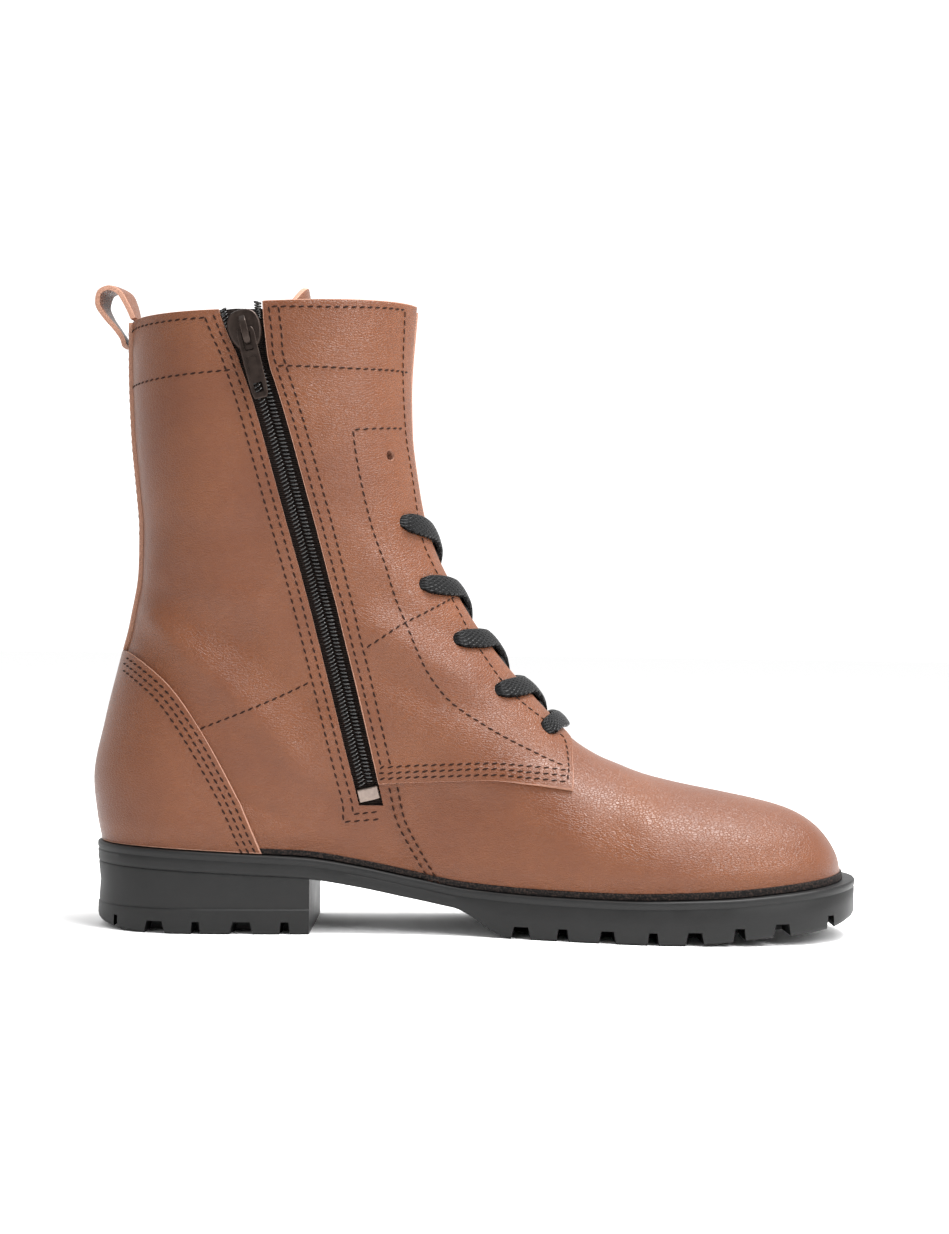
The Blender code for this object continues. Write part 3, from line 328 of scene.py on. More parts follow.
counterEdge = (  # height share from seat to collar, share of the length from the middle
    (-0.020, -0.2640), (0.070, -0.2900), (0.150, -0.3180), (0.230, -0.3500), (0.300, -0.3860),
    (0.345, -0.4240), (0.372, -0.4560),
)
counterZ = seatHeight + (backCollar - seatHeight) * np.array([row[0] for row in counterEdge])
counterX = last["length"] * np.array([row[1] for row in counterEdge])
skirtEdge = (  # share of the length from the middle, share of the throat's height
    (-0.160, 0.748), (-0.060, 0.775), (0.020, 0.785), (0.075, 0.765), (0.140, 0.732),
)
skirtZ = smoothTable(
    [row[0] * last["length"] for row in skirtEdge], [row[1] * last["throatHeight"] for row in skirtEdge]
)
vampSeam = ((-31.5, 56.0), (-30.7, 53.4), (-28.1, 41.8), (-22.8, 31.1), (-16.3, 20.5), (-14.0, 16.5))
middleSeam = ((-96.6, 72.2), (-76.2, 80.5), (-56.5, 89.9), (-40.2, 100.3), (-25.9, 109.6), (-8.1, 119.4))
facingRow = (
    (-43.9, 178.4), (-42.8, 169.9), (-37.6, 147.2), (-31.0, 127.8), (-25.9, 113.8), (-18.3, 96.3),
    (-9.3, 84.1), (4.9, 73.7), (22.5, 64.2), (32.0, 59.6),
)
eyelets = (  # height share from throat to collar, distance behind the throat's edge in mm
    (0.008, 11.0), (0.094, 14.8), (0.214, 14.4), (0.344, 15.4), (0.492, 13.8), (0.645, 16.5),
)

# Folds of the worn leather: a line of the side view, half width and height in mm, and the side it is on
folds = (
    {"line": ((-118, 104), (-104, 86), (-92, 70), (-84, 52)), "half": 7.0, "height": -0.9, "side": "both"},
    {
        "line": ((-114, 112), (-100, 98), (-86, 86), (-72, 73), (-60, 58)), "half": 6.5, "height": 1.3,
        "side": "both",
    },
    {"line": ((-104, 124), (-90, 109), (-76, 96), (-60, 82)), "half": 8.0, "height": -1.2, "side": "both"},
    {"line": ((-112, 118), (-98, 108), (-80, 104)), "half": 7.0, "height": -0.9, "side": "both"},
    {"line": ((-114, 128), (-98, 120), (-78, 118)), "half": 7.0, "height": 0.7, "side": "both"},
    {"line": ((-116, 146), (-96, 140), (-78, 142)), "half": 8.0, "height": -0.6, "side": "both"},
    {"line": ((-34, 122), (-22, 112), (-8, 106)), "half": 6.0, "height": -0.7, "side": "both"},
    {"line": ((-34, 108), (-18, 98), (-2, 92)), "half": 6.5, "height": 0.8, "side": "both"},
    {"line": ((-32, 92), (-14, 82), (6, 78)), "half": 6.0, "height": -0.7, "side": "both"},
    {"line": ((-44, 150), (-34, 140), (-26, 136)), "half": 7.0, "height": -0.5, "side": "both"},
    {"line": ((-60, 128), (-46, 118), (-36, 116)), "half": 7.0, "height": -0.5, "side": "inner"},
    {"line": ((36, 66), (44, 55), (50, 40)), "half": 9.0, "height": -0.6, "side": "both"},
    {"line": ((52, 59), (60, 48), (64, 34)), "half": 9.0, "height": 0.5, "side": "both"},
    {"line": ((-12, 50), (10, 46), (34, 46)), "half": 7.0, "height": -0.5, "side": "both"},
    {"line": ((-60, 30), (-40, 32), (-26, 28)), "half": 6.0, "height": -0.7, "side": "both"},
    {"line": ((-81, 47), (-71, 43), (-62, 38)), "half": 2.6, "height": -0.6, "side": "both"},
    {"line": ((-59, 53), (-51, 45), (-45, 38)), "half": 2.8, "height": -0.4, "side": "both"},
)


def distanceToPath(x, z, path):
    path = np.array(path, float) * mm
    best = np.full(x.shape, 1.0)
    for a, b in zip(path, path[1:]):
        run = b - a
        t = np.clip(((x - a[0]) * run[0] + (z - a[1]) * run[1]) / (run @ run), 0, 1)
        best = np.minimum(best, np.hypot(x - a[0] - t * run[0], z - a[1] - t * run[1]))
    return best


def sideOfPath(x, z, path):  # positive in front of a line that runs downwards
    path = np.array(path, float) * mm
    order = np.argsort(path[:, 1])
    return x - np.interp(z, path[order, 1], path[order, 0])


def relief(point):  # height of the leather above the last's own form
    x, y, z = point[..., 0], point[..., 1], point[..., 2]
    height = np.zeros(x.shape)
    for fold in folds:
        mask = 1.0 if fold["side"] == "both" else (y < 0).astype(float)
        near = distanceToPath(x, z, fold["line"]) / (fold["half"] * mm)
        height += mask * fold["height"] * mm * np.exp(-1.4 * near**2)
    below = 1 - ramp(z, 58 * mm, 62 * mm)
    height += below * 0.5 * mm * ramp(sideOfPath(x, z, vampSeam), -0.7 * mm, 0.7 * mm)
    wave = np.sin(x / (23 * mm) + 1.3) * np.sin(z / (31 * mm) + 0.4) + np.sin((x + z) / (41 * mm))
    return height + 0.14 * mm * wave


# A fine map of the creased skin, which every leather piece, seam and lace is bent onto

mapRows, mapColumns = 321, 521
mapV = np.linspace(0, 1, mapRows)
mapA = np.linspace(-math.pi, math.pi, mapColumns)
skinMap = np.array([ringPoint(np.full(mapColumns, v), mapA) for v in mapV])
skinMap[:, -1] = skinMap[:, 0]


def normalsOf(grid):
    down = np.gradient(grid, axis=0)
    wide = np.concatenate([grid[:, -2:-1], grid, grid[:, 1:2]], 1)
    around = (wide[:, 2:] - wide[:, :-2]) / 2
    normal = np.cross(down, around)
    return normal / np.maximum(np.linalg.norm(normal, axis=-1, keepdims=True), 1e-12)


skinMap = skinMap + normalsOf(skinMap) * relief(skinMap)[..., None]
skinMap[:, -1] = skinMap[:, 0]
skinNormals = normalsOf(skinMap)
skinNormals[:, -1] = skinNormals[:, 0]
print("skin mapped")


def cubicWeights(t):
    return np.stack([
        -0.5 * t + t * t - 0.5 * t**3,
        1 - 2.5 * t * t + 1.5 * t**3,
        0.5 * t + 2 * t * t - 1.5 * t**3,
        -0.5 * t * t + 0.5 * t**3,
    ], -1)


def sample(grid, s, t, closed=False):  # smooth reading of a grid at shares s of its rows, t of its columns
    rows, columns = grid.shape[:2]
    flat = grid.reshape(rows, columns, -1)
    row, column = np.clip(s, 0, 1) * (rows - 1), np.clip(t, 0, 1) * (columns - 1)
    i, j = np.clip(row.astype(int), 0, rows - 2), np.clip(column.astype(int), 0, columns - 2)
    wi, wj = cubicWeights(row - i), cubicWeights(column - j)
    value = 0
    for a in range(4):
        for b in range(4):
            ia, jb = np.clip(i + a - 1, 0, rows - 1), j + b - 1
            jb = jb % (columns - 1) if closed else np.clip(jb, 0, columns - 1)
            value = value + flat[ia, jb] * (wi[..., a] * wj[..., b])[..., None]
    return value if grid.ndim > 2 else value[..., 0]


def skinAt(v, a, offset=0.0):  # points of the creased leather, moved outwards, with their normals
    v, a, offset = np.broadcast_arrays(np.asarray(v, float), np.asarray(a, float), np.asarray(offset, float))
    share = (a + math.pi) / (2 * math.pi) % 1
    normal = unit(sample(skinNormals, v, share, True))
    return sample(skinMap, v, share, True) + normal * offset[..., None], normal


# Colour and materials

def linear(hexColour):
    parts = [int(hexColour[i:i + 2], 16) / 255 for i in (1, 3, 5)]
    return (*[c / 12.92 if c <= 0.04045 else ((c + 0.055) / 1.055) ** 2.4 for c in parts], 1)


def addNode(material, kind, settings=None, links=None):
    node = material.node_tree.nodes.new(kind)
    for key, value in (settings or {}).items():
        if isinstance(key, int) or key in node.inputs.keys():
            node.inputs[key].default_value = value
        else:
            setattr(node, key, value)
    for key, source in (links or {}).items():
        material.node_tree.links.new(source, node.inputs[key])
    return node


def newMaterial(name, colour, roughness, metallic=0.0, **more):
    material = bpy.data.materials.new(name)
    material.use_nodes = True
    shader = material.node_tree.nodes["Principled BSDF"]
    shader.inputs["Base Color"].default_value = linear(colour)
    shader.inputs["Roughness"].default_value = roughness
    shader.inputs["Metallic"].default_value = metallic
    for key, value in more.items():
        shader.inputs[key.replace("_", " ")].default_value = value
    return material, shader


def linkTo(material, socket, output):
    material.node_tree.links.new(output, socket)


def colourBetween(material, shader, factor, dark, light):
    settings = {"data_type": "RGBA", 6: linear(dark), 7: linear(light)}
    mixed = addNode(material, "ShaderNodeMix", settings, {0: factor})
    linkTo(material, shader.inputs["Base Color"], mixed.outputs[2])


leatherLook = {
    "dark": "#542b14", "light": "#66391c",
    "grain": 0.95 * mm, "fineGrain": 0.35 * mm, "cloud": 34 * mm,
    "roughness": (0.33, 0.46),
}


def makeLeather(name, look):
    # Smooth chrome tanned calf with a printed fine grain, waxed and brushed: a soft satin shine
    material, shader = newMaterial(name, look["light"], 0.38, IOR=1.5, Specular_IOR_Level=0.36)
    place = addNode(material, "ShaderNodeTexCoord").outputs["Object"]
    cloud = addNode(
        material, "ShaderNodeTexNoise", {"Scale": 1 / look["cloud"], "Detail": 4.0}, {"Vector": place},
    )
    fleck = addNode(
        material, "ShaderNodeTexNoise", {"Scale": 1 / (3.2 * mm), "Detail": 3.0}, {"Vector": place},
    )
    blend = addNode(material, "ShaderNodeMath", {"operation": "MULTIPLY_ADD", 1: 0.28}, {0: fleck.outputs[0]})
    linkTo(material, blend.inputs[2], cloud.outputs[0])
    tone = addNode(
        material, "ShaderNodeMapRange", {"From Min": 0.36, "From Max": 1.0}, {"Value": blend.outputs[0]},
    )
    colourBetween(material, shader, tone.outputs[0], look["dark"], look["light"])
    shine = addNode(
        material, "ShaderNodeMapRange", {"To Min": look["roughness"][0], "To Max": look["roughness"][1]},
    )
    linkTo(material, shine.inputs["Value"], fleck.outputs[0])
    linkTo(material, shader.inputs["Roughness"], shine.outputs[0])
    # the grain's cells lie wider than they are high
    wide = addNode(material, "ShaderNodeMapping", {"Scale": (0.72, 0.72, 1.3)}, {"Vector": place}).outputs[0]
    warp = addNode(
        material, "ShaderNodeTexNoise", {"Scale": 1 / (2.4 * mm), "Detail": 2.0}, {"Vector": place},
    )
    bend = addNode(material, "ShaderNodeVectorMath", {"operation": "MULTIPLY_ADD", 1: (0.0009,) * 3})
    linkTo(material, bend.inputs[0], warp.outputs["Color"])
    linkTo(material, bend.inputs[2], wide)
    cells = addNode(
        material, "ShaderNodeTexVoronoi", {"feature": "DISTANCE_TO_EDGE", "Scale": 1 / look["grain"]},
        {"Vector": bend.outputs[0]},
    )
    valley = addNode(material, "ShaderNodeMapRange", {"From Max": 0.16}, {"Value": cells.outputs[0]})
    fine = addNode(
        material, "ShaderNodeTexNoise", {"Scale": 1 / look["fineGrain"], "Detail": 2.0}, {"Vector": place},
    )
    height = addNode(material, "ShaderNodeMath", {"operation": "MULTIPLY_ADD", 1: 0.35}, {0: fine.outputs[0]})
    linkTo(material, height.inputs[2], valley.outputs[0])
    strength = addNode(
        material, "ShaderNodeMapRange", {"To Min": 0.25, "To Max": 0.75}, {"Value": cloud.outputs[0]},
    )
    bump = addNode(material, "ShaderNodeBump", {"Distance": 0.20 * mm}, {"Height": height.outputs[0]})
    linkTo(material, bump.inputs["Strength"], strength.outputs[0])
    linkTo(material, shader.inputs["Normal"], bump.outputs[0])
    return material


def makeLaceCloth():
    # Flat plaited cotton lace, waxed black: plaits in two directions with a dull wax shine
    material, shader = newMaterial("waxedCottonLace", "#060606", 0.40, Specular_IOR_Level=0.11)
    place = addNode(material, "ShaderNodeUVMap", {"uv_map": "along"}).outputs[0]
    waves = []
    for turn in (0.72, -0.72):
        lay = addNode(material, "ShaderNodeMapping", {"Rotation": (0, 0, turn)}, {"Vector": place})
        wave = addNode(
            material, "ShaderNodeTexWave", {"Scale": 1 / (3.4 * mm), "Distortion": 1.2, "Detail": 1.0},
            {"Vector": lay.outputs[0]},
        )
        waves.append(wave.outputs["Fac"])
    plait = addNode(material, "ShaderNodeMath", {"operation": "MAXIMUM"}, {0: waves[0], 1: waves[1]})
    colourBetween(material, shader, plait.outputs[0], "#020202", "#0d0d0e")
    bump = addNode(
        material, "ShaderNodeBump", {"Strength": 0.9, "Distance": 0.35 * mm}, {"Height": plait.outputs[0]},
    )
    linkTo(material, shader.inputs["Normal"], bump.outputs[0])
    return material


noise, cellular, ribbed = "ShaderNodeTexNoise", "ShaderNodeTexVoronoi", "ShaderNodeTexWave"

# A pattern is a texture and its settings; tone narrows it, shine turns it to roughness
surfaces = {
    # The raw cut edge of the hide: paler fibres with no finish, so it is matt
    "cutHideEdge": {
        "colour": "#8f6653", "roughness": 0.85, "pattern": (noise, {"Scale": 1 / (0.5 * mm), "Detail": 3.0}),
        "mix": ("#744e3c", "#ab826e"), "bump": (0.4, 0.15 * mm),
    },
    # Pigskin lining: tan, matt, with small pores
    "liningLeather": {
        "colour": "#94704f", "roughness": 0.7, "pattern": (noise, {"Scale": 1 / (12 * mm)}),
        "mix": ("#825f43", "#a07c5e"), "bump": (0.3, 0.1 * mm),
        "relief": (cellular, {"Scale": 1 / (1.6 * mm)}),
    },
    # Bonded polyester thread, dark brown, with the twist of its plies
    "bondedThread": {
        "colour": "#21130d", "roughness": 0.75, "specular": 0.1,
        "pattern": (noise, {"Scale": 1 / (0.4 * mm)}), "mix": ("#140a07", "#2f1c14"),
    },
    # Moulded rubber unit sole, black with a grey bloom: satin, with the mould's fine texture
    "mouldedRubber": {
        "colour": "#1c1c1c", "roughness": 0.46, "ior": 1.52, "specular": 0.22,
        "pattern": (noise, {"Scale": 1 / (9 * mm), "Detail": 5.0}), "mix": ("#0f0f0f", "#1a1a1a"),
        "shine": (0.42, 0.60), "bump": (0.25, 0.12 * mm),
        "relief": (noise, {"Scale": 1 / (0.45 * mm), "Detail": 3.0}),
    },
    # A gritty black band along the foot of the upper, where it meets the sole
    "darkJoinBand": {
        "colour": "#0d0c0c", "roughness": 0.85, "specular": 0.2,
        "pattern": (noise, {"Scale": 1 / (0.7 * mm), "Detail": 4.0}), "tone": (0.45, 0.75),
        "mix": ("#070606", "#3a2e29"), "bump": (0.8, 0.3 * mm),
    },
    # Woven polyester zip tape, black: a fine herringbone that the eye sees as ribs
    "wovenZipTape": {
        "colour": "#0d0a08", "roughness": 0.95, "specular": 0.2, "along": True,
        "pattern": (ribbed, {"Scale": 1 / (2.2 * mm), "Distortion": 0.6}), "mix": ("#080605", "#2a211d"),
        "bump": (0.7, 0.2 * mm),
    },
    # Zinc die casting plated dark: soft reflections, brighter where it is rubbed
    "platedZinc": {
        "colour": "#2c2420", "roughness": 0.30, "metallic": 0.85,
        "pattern": (noise, {"Scale": 1 / (2.5 * mm), "Detail": 4.0}), "mix": ("#211a17", "#3d332e"),
        "shine": (0.25, 0.45),
    },
    # Brushed aluminium stop, warm grey
    "brushedAluminium": {
        "colour": "#7d7068", "roughness": 0.38, "metallic": 0.8,
        "pattern": (noise, {"Scale": 1 / (1.2 * mm), "Detail": 3.0}), "mix": ("#6a5e57", "#8b7d75"),
    },
    # Nylon monofilament coil, black and glossy
    "nylonCoil": {"colour": "#0c0a09", "roughness": 0.24, "ior": 1.53},
}


def makeSurface(name):
    look = surfaces[name]
    material, shader = newMaterial(name, look["colour"], look["roughness"], look.get("metallic", 0.0))
    for key, socket in (("ior", "IOR"), ("specular", "Specular IOR Level")):
        if key in look:
            shader.inputs[socket].default_value = look[key]
    if "pattern" not in look:
        return material
    if "along" in look:
        place = addNode(material, "ShaderNodeUVMap", {"uv_map": "along"}).outputs[0]
    else:
        place = addNode(material, "ShaderNodeTexCoord").outputs["Object"]

    def read(kind, settings):
        outputs = addNode(material, kind, settings, {"Vector": place}).outputs
        return outputs["Fac"] if kind == ribbed else outputs[0]

    pattern = tone = read(*look["pattern"])
    if "tone" in look:
        low, high = look["tone"]
        span = addNode(
            material, "ShaderNodeMapRange", {"From Min": low, "From Max": high}, {"Value": pattern},
        )
        tone = span.outputs[0]
    colourBetween(material, shader, tone, *look["mix"])
    if "shine" in look:
        low, high = look["shine"]
        shine = addNode(material, "ShaderNodeMapRange", {"To Min": low, "To Max": high}, {"Value": pattern})
        linkTo(material, shader.inputs["Roughness"], shine.outputs[0])
    if "bump" in look:
        strength, distance = look["bump"]
        height = read(*look["relief"]) if "relief" in look else pattern
        bump = addNode(
            material, "ShaderNodeBump", {"Strength": strength, "Distance": distance}, {"Height": height}
        )
        linkTo(material, shader.inputs["Normal"], bump.outputs[0])
    return material


leather = makeLeather("smoothCalf", leatherLook)
cutEdge, lining, thread = [makeSurface(name) for name in ("cutHideEdge", "liningLeather", "bondedThread")]
rubber, darkBand, tapeCloth = [makeSurface(name) for name in ("mouldedRubber", "darkJoinBand", "wovenZipTape")]
nylon, gunmetal, stopMetal = [makeSurface(name) for name in ("nylonCoil", "platedZinc", "brushedAluminium")]
laceCloth = makeLaceCloth()
print("materials made")


# Pieces

def finishMesh(name, bm, materials, smoothAngle=40):
    bmesh.ops.recalc_face_normals(bm, faces=bm.faces)
    if bm.calc_volume(signed=True) < 0:
        bmesh.ops.reverse_faces(bm, faces=bm.faces)
    mesh = bpy.data.meshes.new(name)
    bm.to_mesh(mesh)
    bm.free()
    for material in materials:
        mesh.materials.append(material)
    mesh.shade_smooth()
    mesh.set_sharp_from_angle(angle=math.radians(smoothAngle))
    piece = bpy.data.objects.new(name, mesh)
    bpy.context.scene.collection.objects.link(piece)
    return piece


def bentBlock(name, cells, size, thickness, round_, place, materials, closeRound=False, smoothAngle=40):
    # A flat slab of size, in cells, with its upper rim rounded, then bent by place(s, t, height)
    bm = bmesh.new()
    uv = bm.loops.layers.uv.new("along")
    bmesh.ops.create_grid(bm, x_segments=cells[0], y_segments=cells[1], size=0.5)
    bmesh.ops.translate(bm, vec=(0.5, 0.5, 0), verts=bm.verts)
    bmesh.ops.scale(bm, vec=(size[0], size[1], 1), verts=bm.verts)
    bmesh.ops.solidify(bm, geom=bm.faces[:], thickness=thickness)
    lowest = min(v.co.z for v in bm.verts)
    bmesh.ops.translate(bm, vec=(0, 0, -lowest), verts=bm.verts)
    bmesh.ops.recalc_face_normals(bm, faces=bm.faces)
    for face in bm.faces:
        face.material_index = 0 if face.normal.z > 0.5 else 2 if face.normal.z < -0.5 else 1
    if closeRound:
        ends = [f for f in bm.faces if abs(f.normal.y) > 0.5]
        bmesh.ops.delete(bm, geom=ends, context="FACES_ONLY")
    if round_:
        rims = [
            e for e in bm.edges
            if len(e.link_faces) == 2 and {f.material_index for f in e.link_faces} == {0, 1}
        ]
        rim = bmesh.ops.bevel(
            bm, geom=rims, offset=round_, offset_type="OFFSET", segments=2, profile=0.5,
            affect="EDGES", material=-1, clamp_overlap=True,
        )
        for face in rim["faces"]:
            face.material_index = 1
    for face in bm.faces:
        for loop in face.loops:
            loop[uv].uv = loop.vert.co.xy
    flat = np.array([v.co for v in bm.verts])
    bent = place(flat[:, 0] / size[0], flat[:, 1] / size[1], flat[:, 2])
    for vert, co in zip(bm.verts, bent):
        vert.co = co
    if closeRound:
        bmesh.ops.remove_doubles(bm, verts=bm.verts, dist=2e-5)
    return finishMesh(name, bm, materials, smoothAngle)


def skinBlock(name, cells, size, levels, angles, low, high, round_, materials, closeRound=False):
    # A leather panel over grids of rings and angles, between two heights above the skin
    def place(s, t, height):
        return skinAt(sample(levels, s, t), sample(angles, s, t), low + height)[0]

    return bentBlock(name, cells, size, high - low, round_, place, materials, closeRound)


def inOrder(elements):  # each once, in the same order on every run, which a set would not keep
    return list(dict.fromkeys(elements))


def addTo(whole, bm):
    mesh = bpy.data.meshes.new("batch")
    bm.to_mesh(mesh)
    bm.free()
    whole.from_mesh(mesh)
    bpy.data.meshes.remove(mesh)


def cutBy(piece, cutters):
    for cutter in cutters:
        modifier = piece.modifiers.new("cut", "BOOLEAN")
        modifier.operation = "DIFFERENCE"
        modifier.solver = "MANIFOLD"
        modifier.object = cutter
    bpy.context.view_layer.update()
    graph = bpy.context.evaluated_depsgraph_get()
    mesh = bpy.data.meshes.new_from_object(piece.evaluated_get(graph))
    piece.modifiers.clear()
    old = piece.data
    piece.data = mesh
    bpy.data.meshes.remove(old)
    mesh.shade_smooth()
    mesh.set_sharp_from_angle(angle=math.radians(40))
    for cutter in cutters:
        bpy.data.objects.remove(cutter)


def wear(piece, body, slotName, *nodes):
    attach(piece, body)
    if nodes:
        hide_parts(*nodes)
    return piece


# Upper

upperPiece = {"cells": (150, 264), "size": (0.37, 0.42)}


def eyeletPlaces():  # ring and angle of each eyelet on the inner side, lowest first
    places = []
    for up, behind in eyelets:
        z = last["throatHeight"] + (last["collar"] - last["throatHeight"]) * up
        v = float(halved(0.0, throatShare, lambda t: frontZOf(t) > z))
        edge = float(angleAtGap(v, halfGap))
        near = ringPoint(v, edge)
        angle = halved(
            math.pi / 2, edge, lambda a: np.linalg.norm(ringPoint(v, a) - near, axis=-1) > behind * mm
        )
        places.append((v, float(angle)))
    return places


eyeletAt = eyeletPlaces()


def eyeletCutters(side):
    bm = bmesh.new()
    for v, angle in eyeletAt:
        centre, normal = skinAt(v, side * angle)
        turn = Vector(normal).to_track_quat("Z", "Y").to_matrix().to_4x4()
        bmesh.ops.create_cone(
            bm, cap_ends=True, segments=24, radius1=1.9 * mm, radius2=1.9 * mm, depth=18 * mm,
            matrix=Matrix.Translation(Vector(centre)) @ turn,
        )
    return finishMesh("eyeletCutter", bm, [cutEdge])


def throatCutter():
    v = np.linspace(-0.02, throatShare, 60)
    edge = angleAtGap(np.clip(v, 0, 1), halfGap)
    levels = np.repeat(v[:, None], 13, 1)
    angles = np.array([np.linspace(e, 2 * math.pi - e, 13) for e in edge])

    def place(s, t, height):
        level, angle = sample(levels, s, t), sample(angles, s, t)
        angle = np.where(angle > math.pi, angle - 2 * math.pi, angle)
        points = skinAt(np.clip(level, 0, 1), angle, height - 8 * mm)[0]
        points[:, 2] += np.where(level < 0, 6 * mm, 0)
        return points

    return bentBlock("throatCutter", (59, 12), (0.2, 0.02), 16 * mm, 0, place, [cutEdge])


def slotCutter():
    heights = np.linspace(zipLine["bottom"], 1.05, 60) * last["collar"]

    def place(s, t, height):
        z = np.interp(s, np.linspace(0, 1, 60), heights)
        x = between(slotX(z, -1), slotX(z, 1), t)
        return np.stack([x, -halfShaft * 0.35 - height, z], -1)

    return bentBlock("slotCutter", (80, 8), (0.2, 0.01), halfShaft * 1.4, 0, place, [cutEdge])


def makeUpper():
    rows = np.linspace(0, 1, 120)
    around = np.linspace(0, 2 * math.pi, 241)
    levels = np.repeat(rows[:, None], around.size, 1)
    angles = np.repeat(around[None, :], rows.size, 0)

    def place(s, t, height):
        angle = sample(angles, s, t)
        angle = np.where(angle > math.pi, angle - 2 * math.pi, angle)
        return skinAt(sample(levels, s, t), angle, height - last["wall"])[0]

    piece = bentBlock(
        "upperLeather", upperPiece["cells"], upperPiece["size"], last["wall"], 0.5 * mm, place,
        [leather, cutEdge, lining], True,
    )
    cutBy(piece, [throatCutter(), slotCutter(), eyeletCutters(inner), eyeletCutters(outer)])
    return wear(piece, "boot", "leather", "upper")


makeUpper()
print("upper made")


# Overlays: quarters with their facings, counter, back strip

overlay = {"low": -0.25 * mm, "top": 1.40 * mm, "round": 0.40 * mm}
lining3 = [leather, cutEdge, lining]


def makeOverlay(name, cells, size, levels, angles, node):
    piece = skinBlock(
        name, cells, size, levels, angles, overlay["low"], overlay["top"], overlay["round"], lining3,
    )
    return wear(piece, "boot", "leather", node)


def quarterPatch(rows=81, columns=41):
    rearZ = np.linspace(zipLine["bottom"], zipLine["rows"][-1][0], 24) * last["collar"]
    v = np.linspace(0, 1, 161)
    rears = angleAtLine(v, rearZ, slotX(rearZ, 1))
    fronts = np.minimum(angleAtGap(v, halfGap), angleAtX(v, last["throatPlace"]))
    t = np.linspace(0, 1, columns)

    def over(level):
        rear, front = np.interp(level, v, rears), np.interp(level, v, fronts)
        x, z = ringSideView(level, (1 - np.cos(between(rear, front, t))) / 2)
        return z > skirtZ(x)

    lows = halved(np.zeros(columns), np.ones(columns), over)
    levels = np.linspace(0, 1, rows)[:, None] * lows[None, :]
    angles = between(np.interp(levels, v, rears), np.interp(levels, v, fronts), t[None, :])
    return levels, angles


def makeQuarters():
    levels, angles = quarterPatch()
    for side, word in ((inner, "inner"), (outer, "outer")):
        piece = makeOverlay(
            "quarter_" + word, (140, 64), (0.17, 0.066), levels, side * angles, "quarter_" + word,
        )
        cutBy(piece, [eyeletCutters(side)])


counterRing = float(locate(counterX[-1], counterZ[-1] - last["overlay"])[0])


def makeCounter(rows=41, columns=61):
    top = counterRing
    v = between(top, 1.0, 0.4 * np.linspace(0, 1, rows) + 0.6 * np.linspace(0, 1, rows) ** 2)
    edge = angleAtLine(v, counterZ, counterX)
    levels = np.repeat(v[:, None], columns, 1)
    angles = edge[:, None] * np.linspace(1, -1, columns)[None, :]
    makeOverlay("counter", (80, 150), (0.085, 0.14), levels, angles, "heel_counter")


def makeBackStrip(rows=31, columns=9):
    v = np.linspace(0, counterRing - 0.0008, rows)
    edge = halved(
        np.zeros(rows), np.full(rows, math.pi / 2), lambda a: np.abs(ringPoint(v, a)[:, 1]) < 7.5 * mm,
    )
    levels = np.repeat(v[:, None], columns, 1)
    angles = edge[:, None] * np.linspace(1, -1, columns)[None, :]
    makeOverlay("backSeamStrip", (110, 14), (0.12, 0.015), levels, angles, "back_strip")


makeQuarters()
makeCounter()
makeBackStrip()
print("overlays made")


# Tongue and insole

tongue = {
    "depth": 4.8 * mm, "thickness": 1.6 * mm, "halfWidth": 24 * mm, "top": 231.9 * mm, "lean": 35.5 * mm,
}


def makeTongue(rows=49, columns=25):
    low = float(locate(last["throatPlace"] + 0.35 * tongue["halfWidth"], last["throatHeight"] * 0.9)[0])
    levels, angles = [], []
    for v in np.linspace(low, 0, rows):
        half = np.linspace(float(angleAtGap(v, tongue["halfWidth"])), math.pi, columns // 2 + 1)
        levels.append(np.full(columns, v))
        angles.append(np.concatenate([half, 2 * math.pi - half[-2::-1]]))
    levels, angles = np.array(levels), np.array(angles)

    def place(s, t, height):
        points = skinAt(
            sample(levels, s, t), sample(angles, s, t), height - tongue["depth"] - tongue["thickness"],
        )[0]
        across = 2 * t - 1
        rise = (tongue["top"] - last["collar"]) * (1 - 1.9 * across**2) * ramp(s, 0.55, 1)
        points[:, 2] += rise
        points[:, 0] -= tongue["lean"] * ramp(s, 0.62, 1.04)
        return points

    piece = bentBlock("tongue", (120, 36), (0.2, 0.05), tongue["thickness"], 0.5 * mm, place, lining3)
    wear(piece, "boot", "leather", "tongue")


weltReach = smoothTable((0, 0.3, 0.72, 1), (
    last["weltAtHeel"], 0.8 * last["weltAtHeel"], last["weltAtBall"], last["weltAtToe"],
))


def soleEdges(offset, reach=1.0):  # plan of the sole: both edges, offset from the upper's foot
    edges = []
    for side in (inner, outer):
        line = ringPoint(np.ones(241), side * np.linspace(0, math.pi, 241))[:, :2]
        run = np.gradient(line, axis=0)
        normal = np.stack([run[:, 1], -run[:, 0]], -1) * side
        normal /= np.linalg.norm(normal, axis=1, keepdims=True)
        normal[0], normal[-1] = (-1, 0), (1, 0)
        out = offset + reach * weltReach((line[:, 0] + halfLength) / last["length"])
        edges.append(line + normal * out[:, None])
    return edges


def makeInsole():
    edges = soleEdges(-3.4 * mm, 0)
    back, toe = edges[0][0, 0], edges[0][-1, 0]

    def place(s, t, height):
        x = between(back, toe, (1 - np.cos(s * math.pi)) / 2)
        low, high = (np.interp(x, edge[:, 0], edge[:, 1]) for edge in edges)
        dish = 1.2 * mm * (2 * t - 1) ** 4 * np.sin(s * math.pi)
        return np.stack([x, between(low, high, t), feather(x) + 0.3 * mm + height + dish], -1)

    piece = bentBlock(
        "insoleLeather", (80, 20), (0.26, 0.07), 3.0 * mm, 0.8 * mm, place, [lining, cutEdge, lining],
    )
    wear(piece, "boot", "lining", "insole")


makeTongue()
makeInsole()
print("tongue and insole made")


# Pull loop

